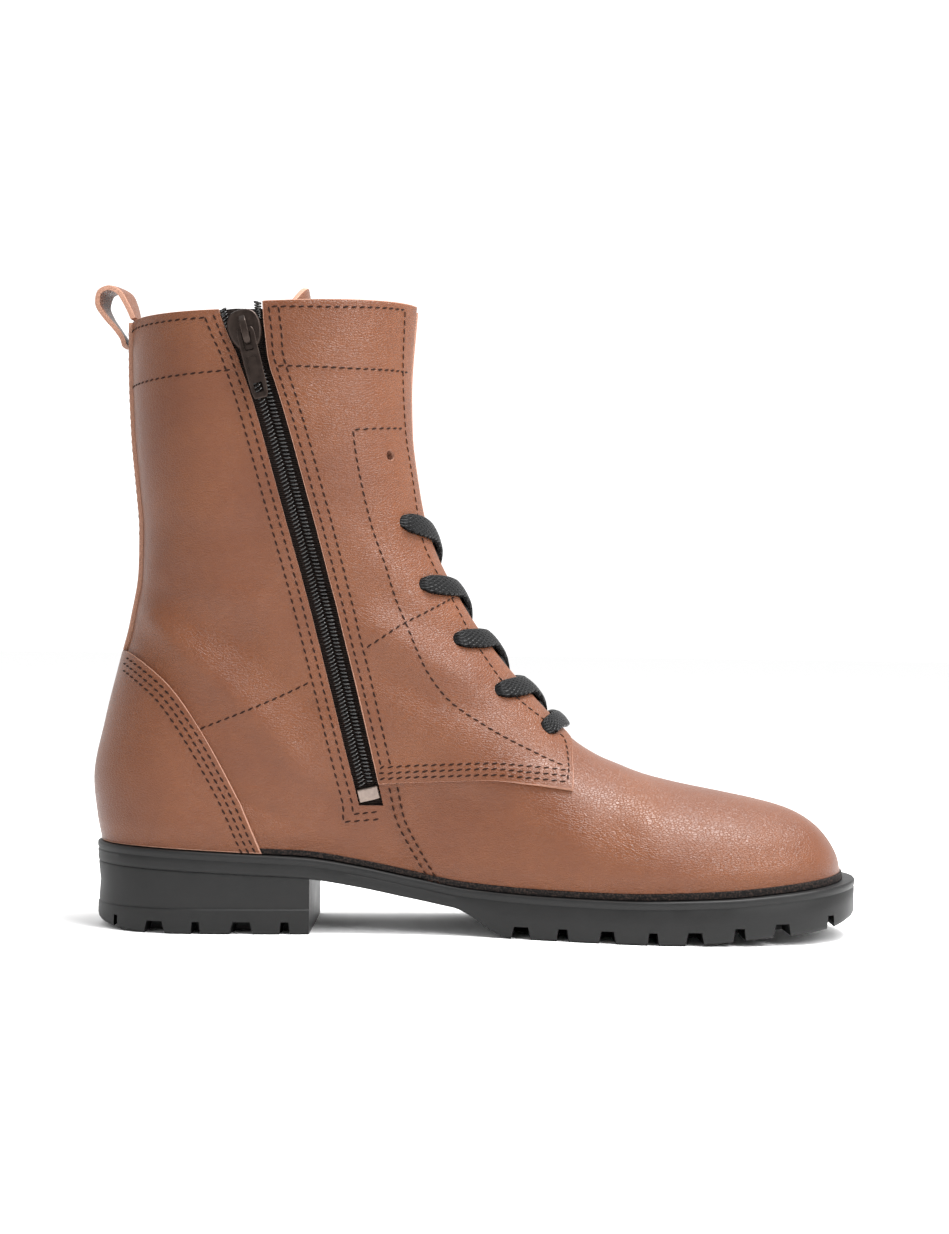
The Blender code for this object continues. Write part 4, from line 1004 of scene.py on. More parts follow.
pullLoop = {
    # share of the loop's height above the collar, distance behind its foot in mm
    "route": (
        (-0.66, 0.1), (-0.45, 0.8), (-0.10, 3.6), (0.25, 6.9), (0.60, 9.0), (0.90, 8.2), (1.00, 5.4),
        (0.90, 2.6), (0.62, 0.6), (0.30, -0.9), (0.13, -1.5),
    ),
    "height": 12 * mm, "width": 12 * mm, "thickness": 1.8 * mm, "turn": 14,
}


def loopFrame(s):
    steps = np.linspace(0, 1, len(pullLoop["route"]))
    footX = backX(backCollar) - 1.8 * mm

    def at(s):
        up = smoothTable(steps, [row[0] for row in pullLoop["route"]])(s) * pullLoop["height"]
        behind = smoothTable(steps, [row[1] for row in pullLoop["route"]])(s) * mm
        return np.stack([footX - behind, np.zeros(s.shape), backCollar + up], -1)

    point = at(s)
    run = unit(at(np.clip(s + 0.02, 0, 1)) - at(np.clip(s - 0.02, 0, 1)))
    twist = math.radians(pullLoop["turn"]) * ramp(
        point[:, 2] - backCollar, -0.3 * pullLoop["height"], pullLoop["height"],
    )
    across = np.stack([np.sin(twist), np.cos(twist), np.zeros(s.shape)], -1)
    normal = np.stack([-run[:, 2], np.zeros(s.shape), run[:, 0]], -1)
    return point, across, normal


def makePullLoop():
    def place(s, t, height):
        point, across, normal = loopFrame(s)
        crown = 0.25 * mm * np.sin(np.clip(t, 0, 1) * math.pi)
        lift = height + crown * (height > 0.5 * pullLoop["thickness"])
        return point + across * ((t - 0.5) * pullLoop["width"])[:, None] + normal * lift[:, None]

    piece = bentBlock(
        "pullLoop", (60, 12), (0.045, pullLoop["width"]), pullLoop["thickness"], 0.35 * mm, place,
        [leather, cutEdge, leather],
    )
    wear(piece, "boot", "leather", "pull_loop")


makePullLoop()
print("pull loop made")


# Stitching

stitch = {"pitch": 3.0 * mm, "length": 2.35 * mm, "width": 0.74 * mm, "height": 0.50 * mm}


def route(points, count=160):  # smooth line of the side view through points in mm
    p = np.array(points, float) * mm
    run = np.concatenate([[0], np.cumsum(np.hypot(*np.diff(p, axis=0).T))])
    at = np.linspace(0, run[-1], count)
    return np.stack([smoothTable(run, p[:, 0])(at), smoothTable(run, p[:, 1])(at)], -1)


def straight(points, count=40):  # line with sharp corners
    p = np.array(points, float) * mm
    parts = [between(a, b, np.linspace(0, 1, count)[:, None]) for a, b in zip(p, p[1:])]
    return np.concatenate([parts[0]] + [part[1:] for part in parts[1:]])


def shifted(path, distance):  # moved to its left
    run = np.gradient(path, axis=0)
    normal = np.stack([-run[:, 1], run[:, 0]], -1) / np.linalg.norm(run, axis=1, keepdims=True)
    return path + normal * distance


def sewAlong(whole, points, normals, slant=0.0):
    bm = bmesh.new()  # each row grows on its own and is then added to the rest
    run = np.concatenate([[0], np.cumsum(np.linalg.norm(np.diff(points, axis=0), axis=1))])
    count = max(int(run[-1] / stitch["pitch"]), 1)
    for at in (np.arange(count) + 0.5) * run[-1] / count:
        centre = Vector([np.interp(at, run, points[:, k]) for k in range(3)])
        ahead = Vector([np.interp(at + 0.4 * mm, run, points[:, k]) for k in range(3)])
        behind = Vector([np.interp(at - 0.4 * mm, run, points[:, k]) for k in range(3)])
        up = Vector([np.interp(at, run, normals[:, k]) for k in range(3)]).normalized()
        along = (ahead - behind).normalized()
        along = (along - up * along.dot(up)).normalized()
        along = Matrix.Rotation(math.radians(slant), 3, up) @ along
        turn = Matrix((along, up.cross(along), up)).transposed().to_4x4()
        scale = Matrix.Diagonal((stitch["length"] / 2, stitch["width"] / 2, stitch["height"] / 2, 1))
        bmesh.ops.create_uvsphere(
            bm, u_segments=6, v_segments=4, radius=1, matrix=Matrix.Translation(centre) @ turn @ scale,
        )
    addTo(whole, bm)


def sewRow(bm, path, side, lift, slant=8.0):
    v, angle = locate(path[:, 0], path[:, 1], side)
    points, normals = skinAt(v, angle, lift)
    sewAlong(bm, points, normals, slant * side)


def zipRow(side, distance, low, high):
    z = np.linspace(high, low, 120) * mm
    return np.stack([slotX(z, side) + side * distance * mm, z], -1)


def cutAtSlot(path, side, distance):  # part of a path on one side of the zip
    edge = slotX(path[:, 1], side) + side * distance * mm
    return path[(path[:, 0] - edge) * side > 0]


def makeStitching():
    onUpper, onQuarter = bmesh.new(), bmesh.new()
    flat, top = 0.05 * mm, overlay["top"] + 0.05 * mm
    rearCollar = route(((-128, 214.6), (-116, 215.4), (-104, 216.2), (-92.3, 216.8), (-88, 217.0)))
    frontCollar = route(((-74.0, 220.6), (-53.1, 221.0), (-27.0, 222.6)))
    collarSeam = route(
        ((-127, 194.2), (-105.7, 196.6), (-88.4, 198.2), (-69.2, 200.0), (-45.9, 199.9), (-26, 200.8))
    )
    middle = route(middleSeam)
    edgeRow = route((
        (-27.0, 222.6), (-27.6, 202), (-26.6, 180.4), (-23.9, 162.6), (-20.0, 141), (-14.5, 128.2),
        (-7.1, 115.7), (2.1, 99.6), (14, 84.5), (26, 74.5), (32.6, 69.0),
    ))
    facing = route(facingRow)
    facingTop = route(((-43.9, 178.4), (-35, 179.4), (-27.4, 180.2)))
    skirt = np.stack([np.linspace(-33, 33.2, 80) * mm, skirtZ(np.linspace(-33, 33.2, 80) * mm)], -1)
    frontEdge = route(((33.4, 54.6), (33.8, 60), (33.6, 64), (32.6, 69.0)))
    counterTop = np.linspace(counterZ[-1] - 0.3 * mm, counterZ[0] + 2 * mm, 120)
    counterPath = np.stack([smoothTable(counterZ, counterX)(counterTop), counterTop], -1)
    seam = route(vampSeam)
    for side in (inner, outer):
        hasZip = side == inner
        shaftRows = (
            cutAtSlot(rearCollar, -1, 5.2) if hasZip else rearCollar,
            cutAtSlot(collarSeam, -1, 3.0 if hasZip else -12), cutAtSlot(middle, -1, 6.4 if hasZip else -10),
        )
        quarterRows = (
            cutAtSlot(collarSeam, 1, 2.5), cutAtSlot(middle, 1, 6.4), cutAtSlot(frontCollar, 1, 2.6),
            edgeRow, facing, facingTop, frontEdge,
        )
        for path in shaftRows:
            sewRow(onUpper, path, side, flat)
        for path in quarterRows:
            sewRow(onQuarter, path, side, top)
        for up in (1.9, 3.8, 5.7):
            sewRow(onQuarter, skirt + np.array([0, up * mm]), side, top, 14)
        for ahead in (2.4, 5.8):
            sewRow(onQuarter, zipRow(1, ahead, 60, 221), side, top)
        if hasZip:
            sewRow(onUpper, zipRow(-1, 2.3, 43, 218.2), side, flat)
            sewRow(onUpper, zipRow(-1, 5.6, 40, 217.2), side, flat)
            foot = slotX(np.array([40.5 * mm, 43.5 * mm]), -1) / mm
            sewRow(onUpper, straight(((foot[0] - 5.6, 39.8), (-32.2, 41.0))), side, flat)
            sewRow(onUpper, straight(((foot[1] - 2.3, 42.6), (-33.0, 43.6))), side, flat)
        for inside in (2.0, 4.2, 6.4):
            path = shifted(counterPath, -inside * mm)
            v, angle = locate(path[:, 0], path[:, 1], side)
            keep = path[:, 0] > backX(path[:, 1]) + 2.5 * mm
            points, normals = skinAt(v[keep], angle[keep], top)
            sewAlong(onQuarter, points, normals, 8 * side)
        for ahead in (1.3, 4.2):
            sewRow(onUpper, seam + np.array([ahead * mm, 0]), side, flat + 0.4 * mm)
    v = np.linspace(0.01, 0.30, 120)
    for side in (inner, outer):
        edge = halved(
            np.zeros(120), np.full(120, math.pi / 2), lambda a: np.abs(ringPoint(v, a)[:, 1]) < 5.6 * mm,
        )
        points, normals = skinAt(v, side * edge, overlay["top"] - 0.12 * mm)
        foot = points[:, 2] > counterZ[-1] + 3 * mm
        sewAlong(onQuarter, points[foot], normals[foot])
    wear(finishMesh("stitchesOnUpper", onUpper, [thread]), "boot", "leather")
    wear(finishMesh("stitchesOnOverlays", onQuarter, [thread]), "boot", "leather")


makeStitching()
print("stitching made")


# Zip

zip_ = {
    "pitch": 1.30 * mm, "tooth": (1.55 * mm, 0.50 * mm, 0.75 * mm), "lift": -0.55 * mm,
    "tapeWidth": 26 * mm,
}


def zipFrames(share):
    def at(share):
        v, angle = locate(zipMiddle(share) * last["length"], share * last["collar"])
        return skinAt(v, angle)

    point, out = at(share)
    down = unit(at(share - 0.01)[0] - at(share + 0.01)[0])
    out = unit(out - down * (out * down).sum(-1, keepdims=True))
    return point, down, out, np.cross(down, out)


def addTooth(bm, centre, down, out, side, lean):
    long, thin, high = zip_["tooth"]
    turn = Matrix.Rotation(math.radians(lean), 3, Vector(out))
    along = turn @ Vector(side)
    matrix = Matrix((along, turn @ Vector(down), Vector(out))).transposed().to_4x4()
    bmesh.ops.create_uvsphere(
        bm, u_segments=8, v_segments=5, radius=1,
        matrix=Matrix.Translation(Vector(centre)) @ matrix @ Matrix.Diagonal((long, thin, high, 1)),
    )


def makeCoil():
    bm = bmesh.new()
    foot, top = zipLine["bottom"] + 0.036, zipLine["slider"] - 0.035
    count = int((top - foot) * last["collar"] / zip_["pitch"])
    share = np.linspace(foot, top, count)
    point, down, out, side = zipFrames(share)
    for first in range(0, count, 12):
        batch = bmesh.new()
        for i in range(first, min(first + 12, count)):
            for hand in (-1, 1):
                middle = point[i] + out[i] * zip_["lift"] + side[i] * hand * 1.55 * mm
                middle = middle + down[i] * (0.25 if hand > 0 else -0.25) * zip_["pitch"]
                addTooth(batch, middle, down[i], out[i], side[i], 16 * hand)
        addTo(bm, batch)
    # above the slider the two halves part and follow the slot's edges
    for hand, end in ((-1, 0.984), (1, 1.006)):
        share = np.linspace(zipLine["slider"] + 0.015, end, 8 if hand < 0 else 12)
        point, down, out, side = zipFrames(share)
        for i in range(share.size):
            spread = zipHalf(share[i]) * mm - 1.6 * mm
            middle = point[i] + out[i] * zip_["lift"] + side[i] * hand * spread
            addTooth(bm, middle, down[i], out[i], side[i], 24 * hand)
    wear(finishMesh("nylonTeeth", bm, [nylon]), "boot", "zip_coil", "zip_coil")


def makeTape(count=61, columns=9):
    z = np.linspace(zipLine["bottom"] - 0.02, 0.978, count) * last["collar"]
    middle = (slotX(z, -1) + slotX(z, 1)) / 2
    offsets = np.linspace(-1, 1, columns) * zip_["tapeWidth"] / 2
    levels, angles = locate(middle[:, None] + offsets[None, :], np.repeat(z[:, None], columns, 1))
    size = 0.17, zip_["tapeWidth"]
    piece = skinBlock(
        "zipTape", (160, 24), size, levels, angles, -3.2 * mm, -2.4 * mm, 0.2 * mm, [tapeCloth] * 3,
    )
    wear(piece, "boot", "zip_tape", "zip_tape")


sliderPiece = {
    "length": 15 * mm, "width": 12 * mm, "height": 2.0 * mm, "bridge": 10.4 * mm, "bridgeWidth": 2.5 * mm,
}
pullPiece = {"length": 24.5 * mm, "width": 6.4 * mm, "thickness": 1.3 * mm}


def sliderFrame():
    point, down, out, side = (part[0] for part in zipFrames(np.array([zipLine["slider"]])))
    return Vector(point) + Vector(out) * 0.5 * mm, Vector(down), Vector(out), Vector(side)


def makeSlider():
    origin, down, out, side = sliderFrame()
    frameMatrix = Matrix.Translation(origin) @ Matrix((down, side, out)).transposed().to_4x4()
    bm = bmesh.new()
    bmesh.ops.create_circle(bm, cap_ends=True, segments=28, radius=1)
    for vert in bm.verts:
        x, y = vert.co.x, vert.co.y
        width = 1.0 if x < -0.1 else 1 - 0.34 * (x + 0.1) / 1.1
        vert.co.x = math.copysign(abs(x) ** 0.75, x) * sliderPiece["length"] / 2
        vert.co.y = math.copysign(abs(y) ** 0.75, y) * sliderPiece["width"] / 2 * width
    base = bm.faces[:]
    grown = bmesh.ops.extrude_face_region(bm, geom=base)["geom"]
    tops = [g for g in grown if isinstance(g, bmesh.types.BMVert)]
    bmesh.ops.translate(bm, vec=(0, 0, sliderPiece["height"]), verts=tops)
    bmesh.ops.recalc_face_normals(bm, faces=bm.faces)
    rims = [e for e in bm.edges if all(v.co.z > 1e-4 for v in e.verts)]
    bmesh.ops.bevel(
        bm, geom=rims, offset=0.8 * mm, offset_type="OFFSET", segments=4, profile=0.5, affect="EDGES",
        material=-1,
    )
    bmesh.ops.transform(bm, matrix=frameMatrix, verts=bm.verts)
    body = finishMesh("sliderBody", bm, [gunmetal], 35)
    wear(body, "boot", "dark_metal", "zip_slider")

    half, low, high = sliderPiece["bridge"] / 2, 1.6 * mm, 4.15 * mm
    heights = (low, 3.0 * mm, high - 0.25 * mm, high, high - 0.25 * mm, 3.0 * mm, low)
    arch = smoothTable((0, 0.12, 0.25, 0.5, 0.75, 0.88, 1), heights)

    def place(s, t, height):
        along = between(-half + 0.45 * mm, half - 0.45 * mm, s)
        rise = arch(s)
        rising = arch(np.clip(s + 0.02, 0, 1)) - arch(np.clip(s - 0.02, 0, 1))
        slope = rising / (0.04 * sliderPiece["bridge"])
        tilt = np.arctan(slope)
        width = sliderPiece["bridgeWidth"] * (1 - 0.25 * np.abs(2 * s - 1) ** 3)
        flat = np.stack([along - np.sin(tilt) * height, (t - 0.5) * width, rise + np.cos(tilt) * height], -1)
        return flat @ np.array([down, side, out]) + np.array(origin)

    size = 0.014, sliderPiece["bridgeWidth"]
    bridge = bentBlock("sliderBridge", (30, 4), size, 0.95 * mm, 0.3 * mm, place, [gunmetal] * 3)
    wear(bridge, "boot", "dark_metal")


def makePull():
    origin, down, out, side = sliderFrame()
    axle = np.array(origin + out * 2.95 * mm)
    wide = smoothTable((0, 0.06, 0.35, 0.80, 0.93, 1), (0.80, 1.0, 1.0, 0.94, 0.86, 0.66))
    long, thick = pullPiece["length"] + pullPiece["thickness"] / 2, pullPiece["thickness"]

    def place(s, t, height):
        along = s * long - thick / 2
        flat = np.stack([along, (t - 0.5) * pullPiece["width"] * wide(s), height - thick / 2], -1)
        return flat @ np.array([down, side, out]) + axle

    piece = bentBlock(
        "pullTab", (40, 10), (long, pullPiece["width"]), thick, 0.35 * mm, place, [gunmetal] * 3,
    )
    cutters = []
    for start, end, width, low in ((0.65, 7.5, 3.2, -3.0), (18.9, 22.4, 3.2, -3.0), (9.6, 17.4, 3.8, 0.35)):
        bm = bmesh.new()
        bmesh.ops.create_cube(bm, size=1)
        bmesh.ops.scale(bm, vec=((end - start) * mm, width * mm, 6 * mm), verts=bm.verts)
        bmesh.ops.translate(bm, vec=((start + end) / 2 * mm, 0, (low + 3.0) * mm), verts=bm.verts)
        uprights = [e for e in bm.edges if abs(e.verts[0].co.z - e.verts[1].co.z) > mm]
        bmesh.ops.bevel(
            bm, geom=uprights, offset=0.4 * mm, offset_type="OFFSET", segments=3, profile=0.5, affect="EDGES",
            material=-1,
        )
        matrix = Matrix.Translation(Vector(axle)) @ Matrix((down, side, out)).transposed().to_4x4()
        bmesh.ops.transform(bm, matrix=matrix, verts=bm.verts)
        cutters.append(finishMesh("pullCutter", bm, [gunmetal]))
    cutBy(piece, cutters)
    wear(piece, "pull_tab", "dark_metal", "zip_pull")


def makeStop():
    point, down, out, side = (Vector(part[0]) for part in zipFrames(np.array([zipLine["bottom"] + 0.018])))
    start = np.array(point - out * 1.9 * mm)

    def place(s, t, height):
        bow = 0.35 * mm * (1 - (2 * t - 1) ** 2) * (height > 1 * mm)
        flat = np.stack([(s - 0.5) * 4.6 * mm, (t - 0.5) * 7.4 * mm, height + bow], -1)
        return flat @ np.array([down, side, out]) + start

    piece = bentBlock(
        "bottomStop", (8, 12), (4.6 * mm, 7.4 * mm), 2.1 * mm, 0.45 * mm, place, [stopMetal] * 3,
    )
    wear(piece, "boot", "zip_stop", "zip_stop")


makeTape()
makeCoil()
makeSlider()
makePull()
makeStop()
print("zip made")


# Lace

lace = {
    "width": 7.4 * mm, "thickness": 1.0 * mm, "crown": 0.40 * mm,
    # how a strand leaves its hole towards the throat, as a slope of the side view, lowest row first
    "slopes": (0.7, 0.12, -0.02, -0.17, -0.45),
    # share of the strand's length, width in mm
    "strandWidths": (
        (0, 2.6), (0.025, 5.0), (0.075, 7.0), (0.2, 7.6), (0.31, 7.0), (0.42, 5.6), (0.62, 5.0), (0.9, 3.6),
        (1, 2.4),
    ),
}


def makeStrand(name, knots, rings, angles, lifts, widths, cells=70):
    ringAt, angleAt = smoothTable(knots, rings), smoothTable(knots, angles)
    liftAt = smoothTable([row[0] for row in lifts], [row[1] * mm for row in lifts])
    widthAt = smoothTable([row[0] for row in widths], [row[1] * mm for row in widths])

    def place(s, t, height):
        def middle(s):
            angle = angleAt(s)
            angle = np.where(angle > math.pi, angle - 2 * math.pi, angle)
            angle = np.where(angle < -math.pi, angle + 2 * math.pi, angle)
            return skinAt(ringAt(s), angle, liftAt(s))

        point, normal = middle(s)
        along = unit(middle(np.clip(s + 0.01, 0, 1))[0] - middle(np.clip(s - 0.01, 0, 1))[0])
        across = unit(np.cross(along, normal))
        up = np.cross(across, along)
        wide = widthAt(s)
        crown = lace["crown"] * (1 - (2 * np.clip(t, 0, 1) - 1) ** 2)
        level = height + np.where(height > 0.5 * lace["thickness"], crown, -0.3 * crown)
        level = level * np.clip(2.6 - 1.4 * wide / lace["width"], 1, 1.6)
        return point + across * ((t - 0.5) * wide)[:, None] + up * level[:, None]

    size = 0.03, lace["width"]
    return bentBlock(name, (cells, 10), size, lace["thickness"], 0.4 * mm, place, [laceCloth] * 3)


def behindHole(v, a, distance=2.0 * mm):  # the angle of a place just behind a hole, where a strand comes out
    step = np.linalg.norm(ringPoint(v, a) - ringPoint(v, a - 0.01))
    return a - 0.01 * distance / float(step)


def ringOfLeaf(row):  # the ring where the strand of a row crosses the facing's edge
    v, a = eyeletAt[row]
    hole = ringPoint(v, a)

    def above(level):
        edge = ringPoint(level, angleAtGap(level, halfGap))
        return edge[..., 2] > hole[2] + lace["slopes"][row] * (edge[..., 0] - hole[0])

    return float(halved(max(v - 0.08, 0), v + 0.12, above))


def makeLace():
    v0, a0 = eyeletAt[0][0], behindHole(*eyeletAt[0])
    over = ringOfLeaf(0)
    edge = float(angleAtGap(over, halfGap))
    bar = makeStrand(
        "laceBar", (0, 0.3, 0.5, 0.7, 1), (v0, over, over, over, v0),
        (a0, edge, math.pi, 2 * math.pi - edge, 2 * math.pi - a0),
        ((0, -1.6), (0.05, 0.9), (0.12, 1.75), (0.5, 2.0), (0.88, 1.75), (0.95, 0.9), (1, -1.6)),
        ((0, 2.6), (0.03, 5.0), (0.10, 6.8), (0.5, 6.6), (0.90, 6.8), (0.97, 5.0), (1, 2.6)),
    )
    wear(bar, "boot", "lace", "lace_bar")
    for row in range(1, 5):
        v, a = eyeletAt[row][0], behindHole(*eyeletAt[row])
        below, belowAngle = eyeletAt[row - 1]
        edge = ringOfLeaf(row)
        ring = between(edge, below, 0.55)
        turn = 2 * math.pi - float(angleAtGap(ring, 0.75 * halfGap))
        for side, word in ((inner, "near"), (outer, "far")):
            lower = 0.0 if side == inner else -1.5
            strand = makeStrand(
                f"laceStrand{row}_{word}", (0, 0.33, 0.62, 1), (v, edge, ring, below),
                (
                    side * a, side * float(angleAtGap(edge, 0.9 * halfGap)), side * turn,
                    side * (2 * math.pi - belowAngle),
                ),
                (
                    (0, -1.5), (0.025, 0.8), (0.08, 1.65), (0.33, 1.9), (0.47, 1.1 + lower),
                    (0.62, -2.6 + 0.2 * lower), (0.69, -3.4), (0.93, -3.4), (1, -2.4),
                ),
                lace["strandWidths"],
            )
            wear(strand, "boot", "lace", *([f"lace_cross_{row}"] if side == inner else []))


makeLace()
print("lace made")


# Sole

sole = {
    "waist": 7.4 * mm, "toeLift": 8.5 * mm, "breast": 57 * mm,
    "roll": 3.0 * mm, "lugDepth": 4.4 * mm, "lugReach": 20 * mm, "channel": 4.0 * mm, "taper": 0.66,
    # share of the length from the middle, width in mm
    "heelGrooves": ((-0.4550, 1.9), (-0.4014, 8.4), (-0.3482, 3.8), (-0.2903, 9.2), (-0.2356, 4.2)),
    "grooves": (
        (0.0644, 7.4), (0.1165, 4.6), (0.1719, 6.4), (0.2281, 4.3), (0.2799, 7.0), (0.3356, 4.8),
        (0.3899, 7.0), (0.4554, 3.2),
    ),
    "crossGrooves": (0.0935, 0.2014, 0.3094),
}
toeLine = smoothTable(
    (0.760, 0.80, 0.84, 0.88, 0.92, 0.96, 0.99, 1.0), (0, 0.09, 0.24, 0.36, 0.47, 0.66, 0.93, 1.0),
)


def tread(x):  # the ground face under the forefoot, the waist behind it, and over the heel
    station = (x + halfLength) / last["length"]
    ground = sole["toeLift"] * np.where(station > 0.760, toeLine(station), 0)
    return between(feather(x) - sole["waist"], ground, ramp(station, 0.478, 0.554))


def heelRoll(x):
    return sole["roll"] * ramp(-x, halfLength - 0.024, halfLength) ** 1.5


def soleStack(name, layers, segments=420):
    # Rings of the sole's plan, each with its own offset and height over x, bridged from top to bottom
    bm = bmesh.new()
    rings = []
    for offset, height in layers:
        edges = soleEdges(offset)
        around = np.concatenate([edges[0][:-1], edges[1][::-1][:-1]])
        around = np.concatenate([around, around[:1]])
        verts = bmesh.ops.create_circle(bm, cap_ends=False, segments=segments, radius=1)["verts"]
        for vert in verts:
            at = (math.atan2(vert.co.y, vert.co.x) / (2 * math.pi)) % 1 * (len(around) - 1)
            x = np.interp(at, np.arange(len(around)), around[:, 0])
            y = np.interp(at, np.arange(len(around)), around[:, 1])
            vert.co = x, y, float(height(x))
        rings.append(inOrder(edge for vert in verts for edge in vert.link_edges))
    for one, two in zip(rings, rings[1:]):
        bmesh.ops.bridge_loops(bm, edges=one + two)
    caps = [f for ring in (rings[0], rings[-1]) for f in bmesh.ops.edgeloop_fill(bm, edges=ring)["faces"]]
    for x in np.arange(-0.136, 0.136, 0.004):
        geom = inOrder(g for face in caps for g in [face, *face.edges, *face.verts])
        cut = bmesh.ops.bisect_plane(bm, geom=geom, plane_co=(x, 0, 0), plane_no=(1, 0, 0))["geom"]
        caps = [g for g in cut if isinstance(g, bmesh.types.BMFace)]
    return bm


def grooveCutters(name, grooves, reach, floor):
    bm = bmesh.new()
    inside, outside = soleEdges(0)
    for place, width in grooves:
        x = place * last["length"]
        for side, line in ((inner, inside), (outer, outside)):
            edge = float(np.interp(x, line[:, 0], line[:, 1]))
            made = bmesh.ops.create_cube(bm, size=1)["verts"]
            low, high = float(floor(x)) - 1.5 * mm, float(floor(x)) + sole["lugDepth"]
            for vert in made:
                narrow = sole["taper"] if vert.co.z > 0 else 1
                inwards = vert.co.y * side > 0
                narrow *= 0.8 if inwards else 1.08
                y = edge + side * (reach if inwards else -5 * mm)
                vert.co = x + vert.co.x * width * mm * narrow, y, high if vert.co.z > 0 else low
    return finishMesh(name, bm, [rubber])


def channelCutters():
    bm = bmesh.new()
    lines = soleEdges(0)
    for side, line in ((inner, lines[0]), (outer, lines[1])):
        made = bmesh.ops.create_grid(bm, x_segments=24, y_segments=1, size=0.5)["verts"]
        faces = inOrder(f for v in made for f in v.link_faces)
        grown = bmesh.ops.extrude_face_region(bm, geom=faces)["geom"]
        tops = [g for g in grown if isinstance(g, bmesh.types.BMVert)]
        for vert in made + tops:
            x = between(0.0432, 0.3885, vert.co.x + 0.5) * last["length"]
            y = float(np.interp(x, line[:, 0], line[:, 1])) + side * sole["lugReach"]
            high = vert in tops
            wide = sole["channel"] * (sole["taper"] if high else 1)
            z = float(tread(x)) + (sole["lugDepth"] if high else -5 * mm)
            vert.co = x, y + vert.co.y * wide, z
    return finishMesh("channelCutter", bm, [rubber])


def crossCutters():
    bm = bmesh.new()
    for place in sole["crossGrooves"]:
        x = place * last["length"]
        made = bmesh.ops.create_cube(bm, size=1)["verts"]
        for vert in made:
            narrow = sole["taper"] if vert.co.z > 0 else 1
            z = float(tread(x)) + (sole["lugDepth"] if vert.co.z > 0 else -5 * mm)
            vert.co = x + vert.co.x * sole["channel"] * narrow, vert.co.y * 58 * mm, z
    return finishMesh("crossCutter", bm, [rubber])


def makeForefoot():
    def down(depth):
        return lambda x: feather(x) - depth

    def up(height):
        return lambda x: tread(x) + height

    def middle(x):
        return between(tread(x) + 1.6 * mm, feather(x) - 3.5 * mm, 0.5)

    bm = soleStack("sole", (
        (-1.1 * mm, down(0.0)), (-0.40 * mm, down(0.12 * mm)), (-0.06 * mm, down(0.5 * mm)),
        (0, down(1.1 * mm)),
        (-0.05 * mm, down(2.2 * mm)), (-0.40 * mm, down(2.65 * mm)), (-0.42 * mm, down(2.95 * mm)),
        (-0.12 * mm, down(3.4 * mm)), (-0.25 * mm, middle), (-0.15 * mm, up(1.6 * mm)),
        (-0.35 * mm, up(0.7 * mm)),
        (-0.6 * mm, up(0.25 * mm)), (-1.1 * mm, up(0.0)),
    ))
    piece = finishMesh("outsole", bm, [rubber])
    grooves = grooveCutters("grooveCutter", sole["grooves"], sole["lugReach"], tread)
    cutBy(piece, [grooves, channelCutters(), crossCutters()])
    wear(piece, "boot", "sole_rubber", "outsole", "welt")


def makeHeel():
    def top(depth):
        return lambda x: feather(x) - sole["waist"] - depth

    def level(height):
        return lambda x: height * mm

    def up(height):
        return lambda x: heelRoll(x) + height

    def middle(x):
        return between(9.6 * mm, feather(x) - sole["waist"], 0.5)

    bm = soleStack("heel", (
        (-0.9 * mm, top(-0.3 * mm)), (-0.55 * mm, top(0.1 * mm)), (-0.45 * mm, top(0.6 * mm)),
        (-1.15 * mm, middle), (-0.75 * mm, level(9.9)), (-0.95 * mm, level(9.3)), (-0.97 * mm, level(9.0)),
        (-0.50 * mm, level(8.5)),
        (-0.45 * mm, up(2.0 * mm)), (-0.75 * mm, up(0.7 * mm)), (-1.3 * mm, up(0.0)),
    ))
    bmesh.ops.bisect_plane(
        bm, geom=bm.verts[:] + bm.edges[:] + bm.faces[:], plane_co=(-sole["breast"], 0, 0),
        plane_no=(1, 0, 0), clear_outer=True,
    )
    rim = [edge for edge in bm.edges if len(edge.link_faces) == 1]
    bmesh.ops.holes_fill(bm, edges=rim, sides=0)
    piece = finishMesh("heel", bm, [rubber])
    cutBy(piece, [grooveCutters("heelCutter", sole["heelGrooves"], 0.65 * sole["lugReach"], heelRoll)])
    wear(piece, "boot", "sole_rubber", "heel_block", "heel_top_piece")


def makeDarkJoinBand():
    # a thin, gritty black band laid just proud of the upper's lowest rim, along the top of the sole
    v = np.linspace(0.991, 1.0, 4)
    around = np.linspace(-math.pi, math.pi, 241)
    levels, angles = np.repeat(v[:, None], around.size, 1), np.repeat(around[None, :], v.size, 0)
    piece = skinBlock(
        "darkJoinLine", (3, 420), (0.003, 0.4), levels, angles, -0.4 * mm, 0.55 * mm, 0.2 * mm,
        [darkBand] * 3, True,
    )
    wear(piece, "boot", "sole_rubber")


makeForefoot()
makeHeel()
makeDarkJoinBand()
print("sole made")


# Camera, light and floor

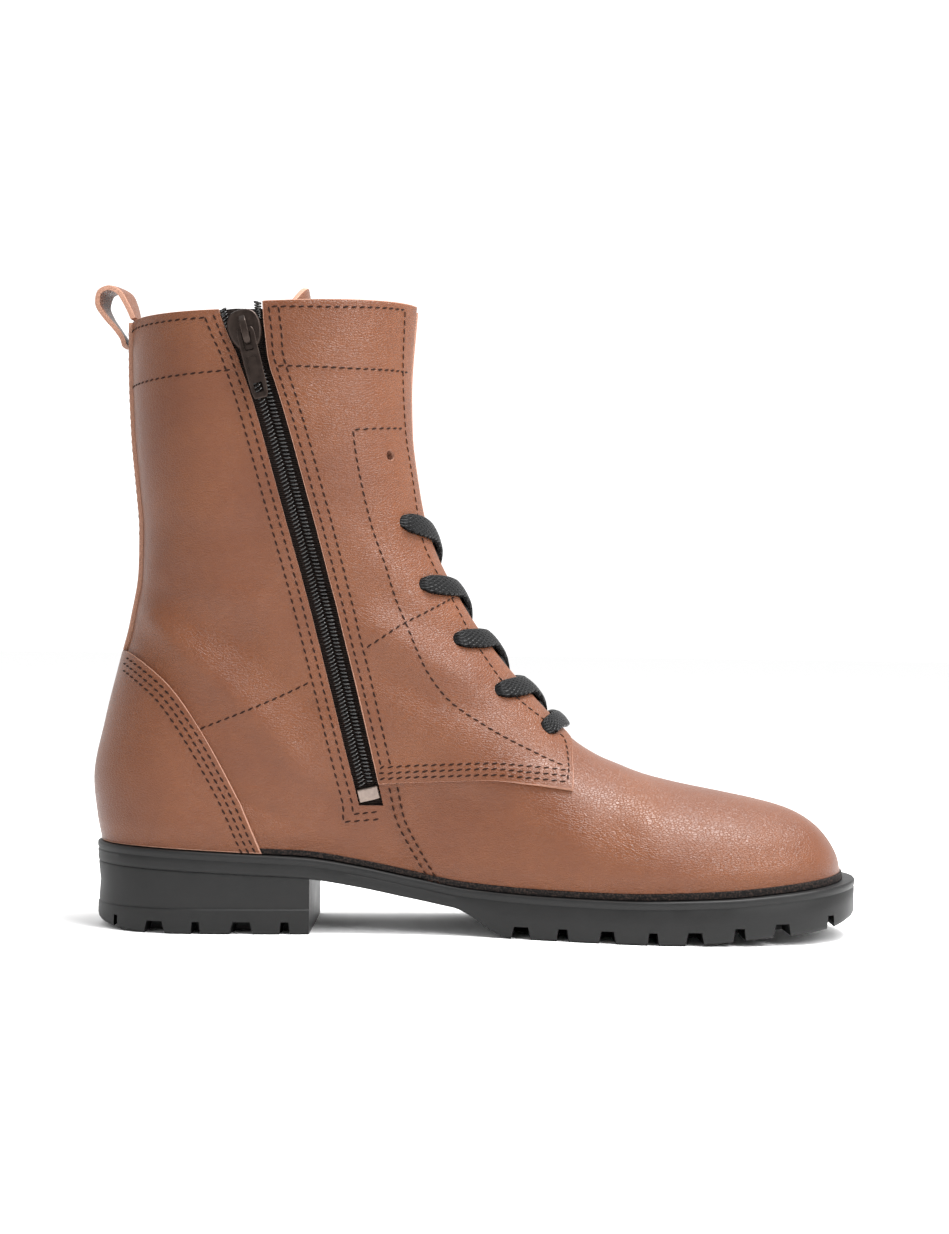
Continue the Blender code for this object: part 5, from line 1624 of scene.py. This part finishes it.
studio = {
    "lens": 67.79,
    "cameraPlace": (0.00026, -0.850, 0.1130),
    "cameraRoll": 0.012,
    "floorRadius": 6,
    "dim": 0.45,  # strength of the studio's darker side, the one in front of the boot's zip
    "bright": 1.35,
    "fade": (-0.7, 0.3),  # where along Y the studio turns from dim to bright
}
lights = (  # name, place, target, size in metres, watts
    ("overToe", (0.24, -0.10, 0.90), (0.06, 0, 0.06), (0.45, 0.5), 19),
    ("leftStrip", (-0.60, -0.90, 0.40), (-0.08, -0.03, 0.10), (0.10, 0.6), 1.6),
    ("right", (0.85, -0.75, 0.55), (0.03, 0, 0.07), (0.35, 0.5), 2.5),
    ("front", (0.52, -0.58, 0.60), (0.04, -0.03, 0.05), (0.5, 0.5), 5.5),
)


def makeCamera():
    data = bpy.data.cameras.new("camera")
    data.lens = studio["lens"]
    data.sensor_width = 36
    camera = bpy.data.objects.new("camera", data)
    camera.matrix_world = (
        Matrix.Translation(studio["cameraPlace"]) @ Matrix.Rotation(math.pi / 2, 4, "X")
        @ Matrix.Rotation(studio["cameraRoll"], 4, "Z")
    )
    bpy.context.scene.collection.objects.link(camera)
    bpy.context.scene.camera = camera


def makeLight(name, place, target, size, power):
    data = bpy.data.lights.new(name, "AREA")
    data.shape = "RECTANGLE"
    data.size, data.size_y = size
    data.energy = power
    light = bpy.data.objects.new(name, data)
    light.matrix_world = Matrix.Translation(place) @ (
        (Vector(target) - Vector(place)).to_track_quat("-Z", "Y").to_matrix().to_4x4()
    )
    bpy.context.scene.collection.objects.link(light)


def makeFloor():
    bm = bmesh.new()
    bmesh.ops.create_circle(bm, cap_ends=True, segments=96, radius=studio["floorRadius"])
    floor = finishMesh("floor", bm, [floorPaint])


def makeWorld():
    world = bpy.data.worlds.new("studio")
    world.use_nodes = True
    world.node_tree.nodes["Background"].inputs["Color"].default_value = (1, 1, 1, 1)
    way = addNode(world, "ShaderNodeTexCoord").outputs["Generated"]
    split = addNode(world, "ShaderNodeSeparateXYZ", None, {"Vector": way})
    low, high = studio["fade"]
    fade = {"From Min": low, "From Max": high, "To Min": studio["dim"], "To Max": studio["bright"]}
    dim = addNode(world, "ShaderNodeMapRange", fade, {"Value": split.outputs["Y"]})
    linkTo(world, world.node_tree.nodes["Background"].inputs["Strength"], dim.outputs[0])
    bpy.context.scene.world = world
    bpy.context.scene.view_settings.view_transform = "Standard"


floorPaint, _ = newMaterial("paintedFloor", "#fdfdfd", 1.0, Specular_IOR_Level=0.0)
makeCamera()
makeWorld()
makeFloor()
for light in lights:
    makeLight(*light)
print("stage made")
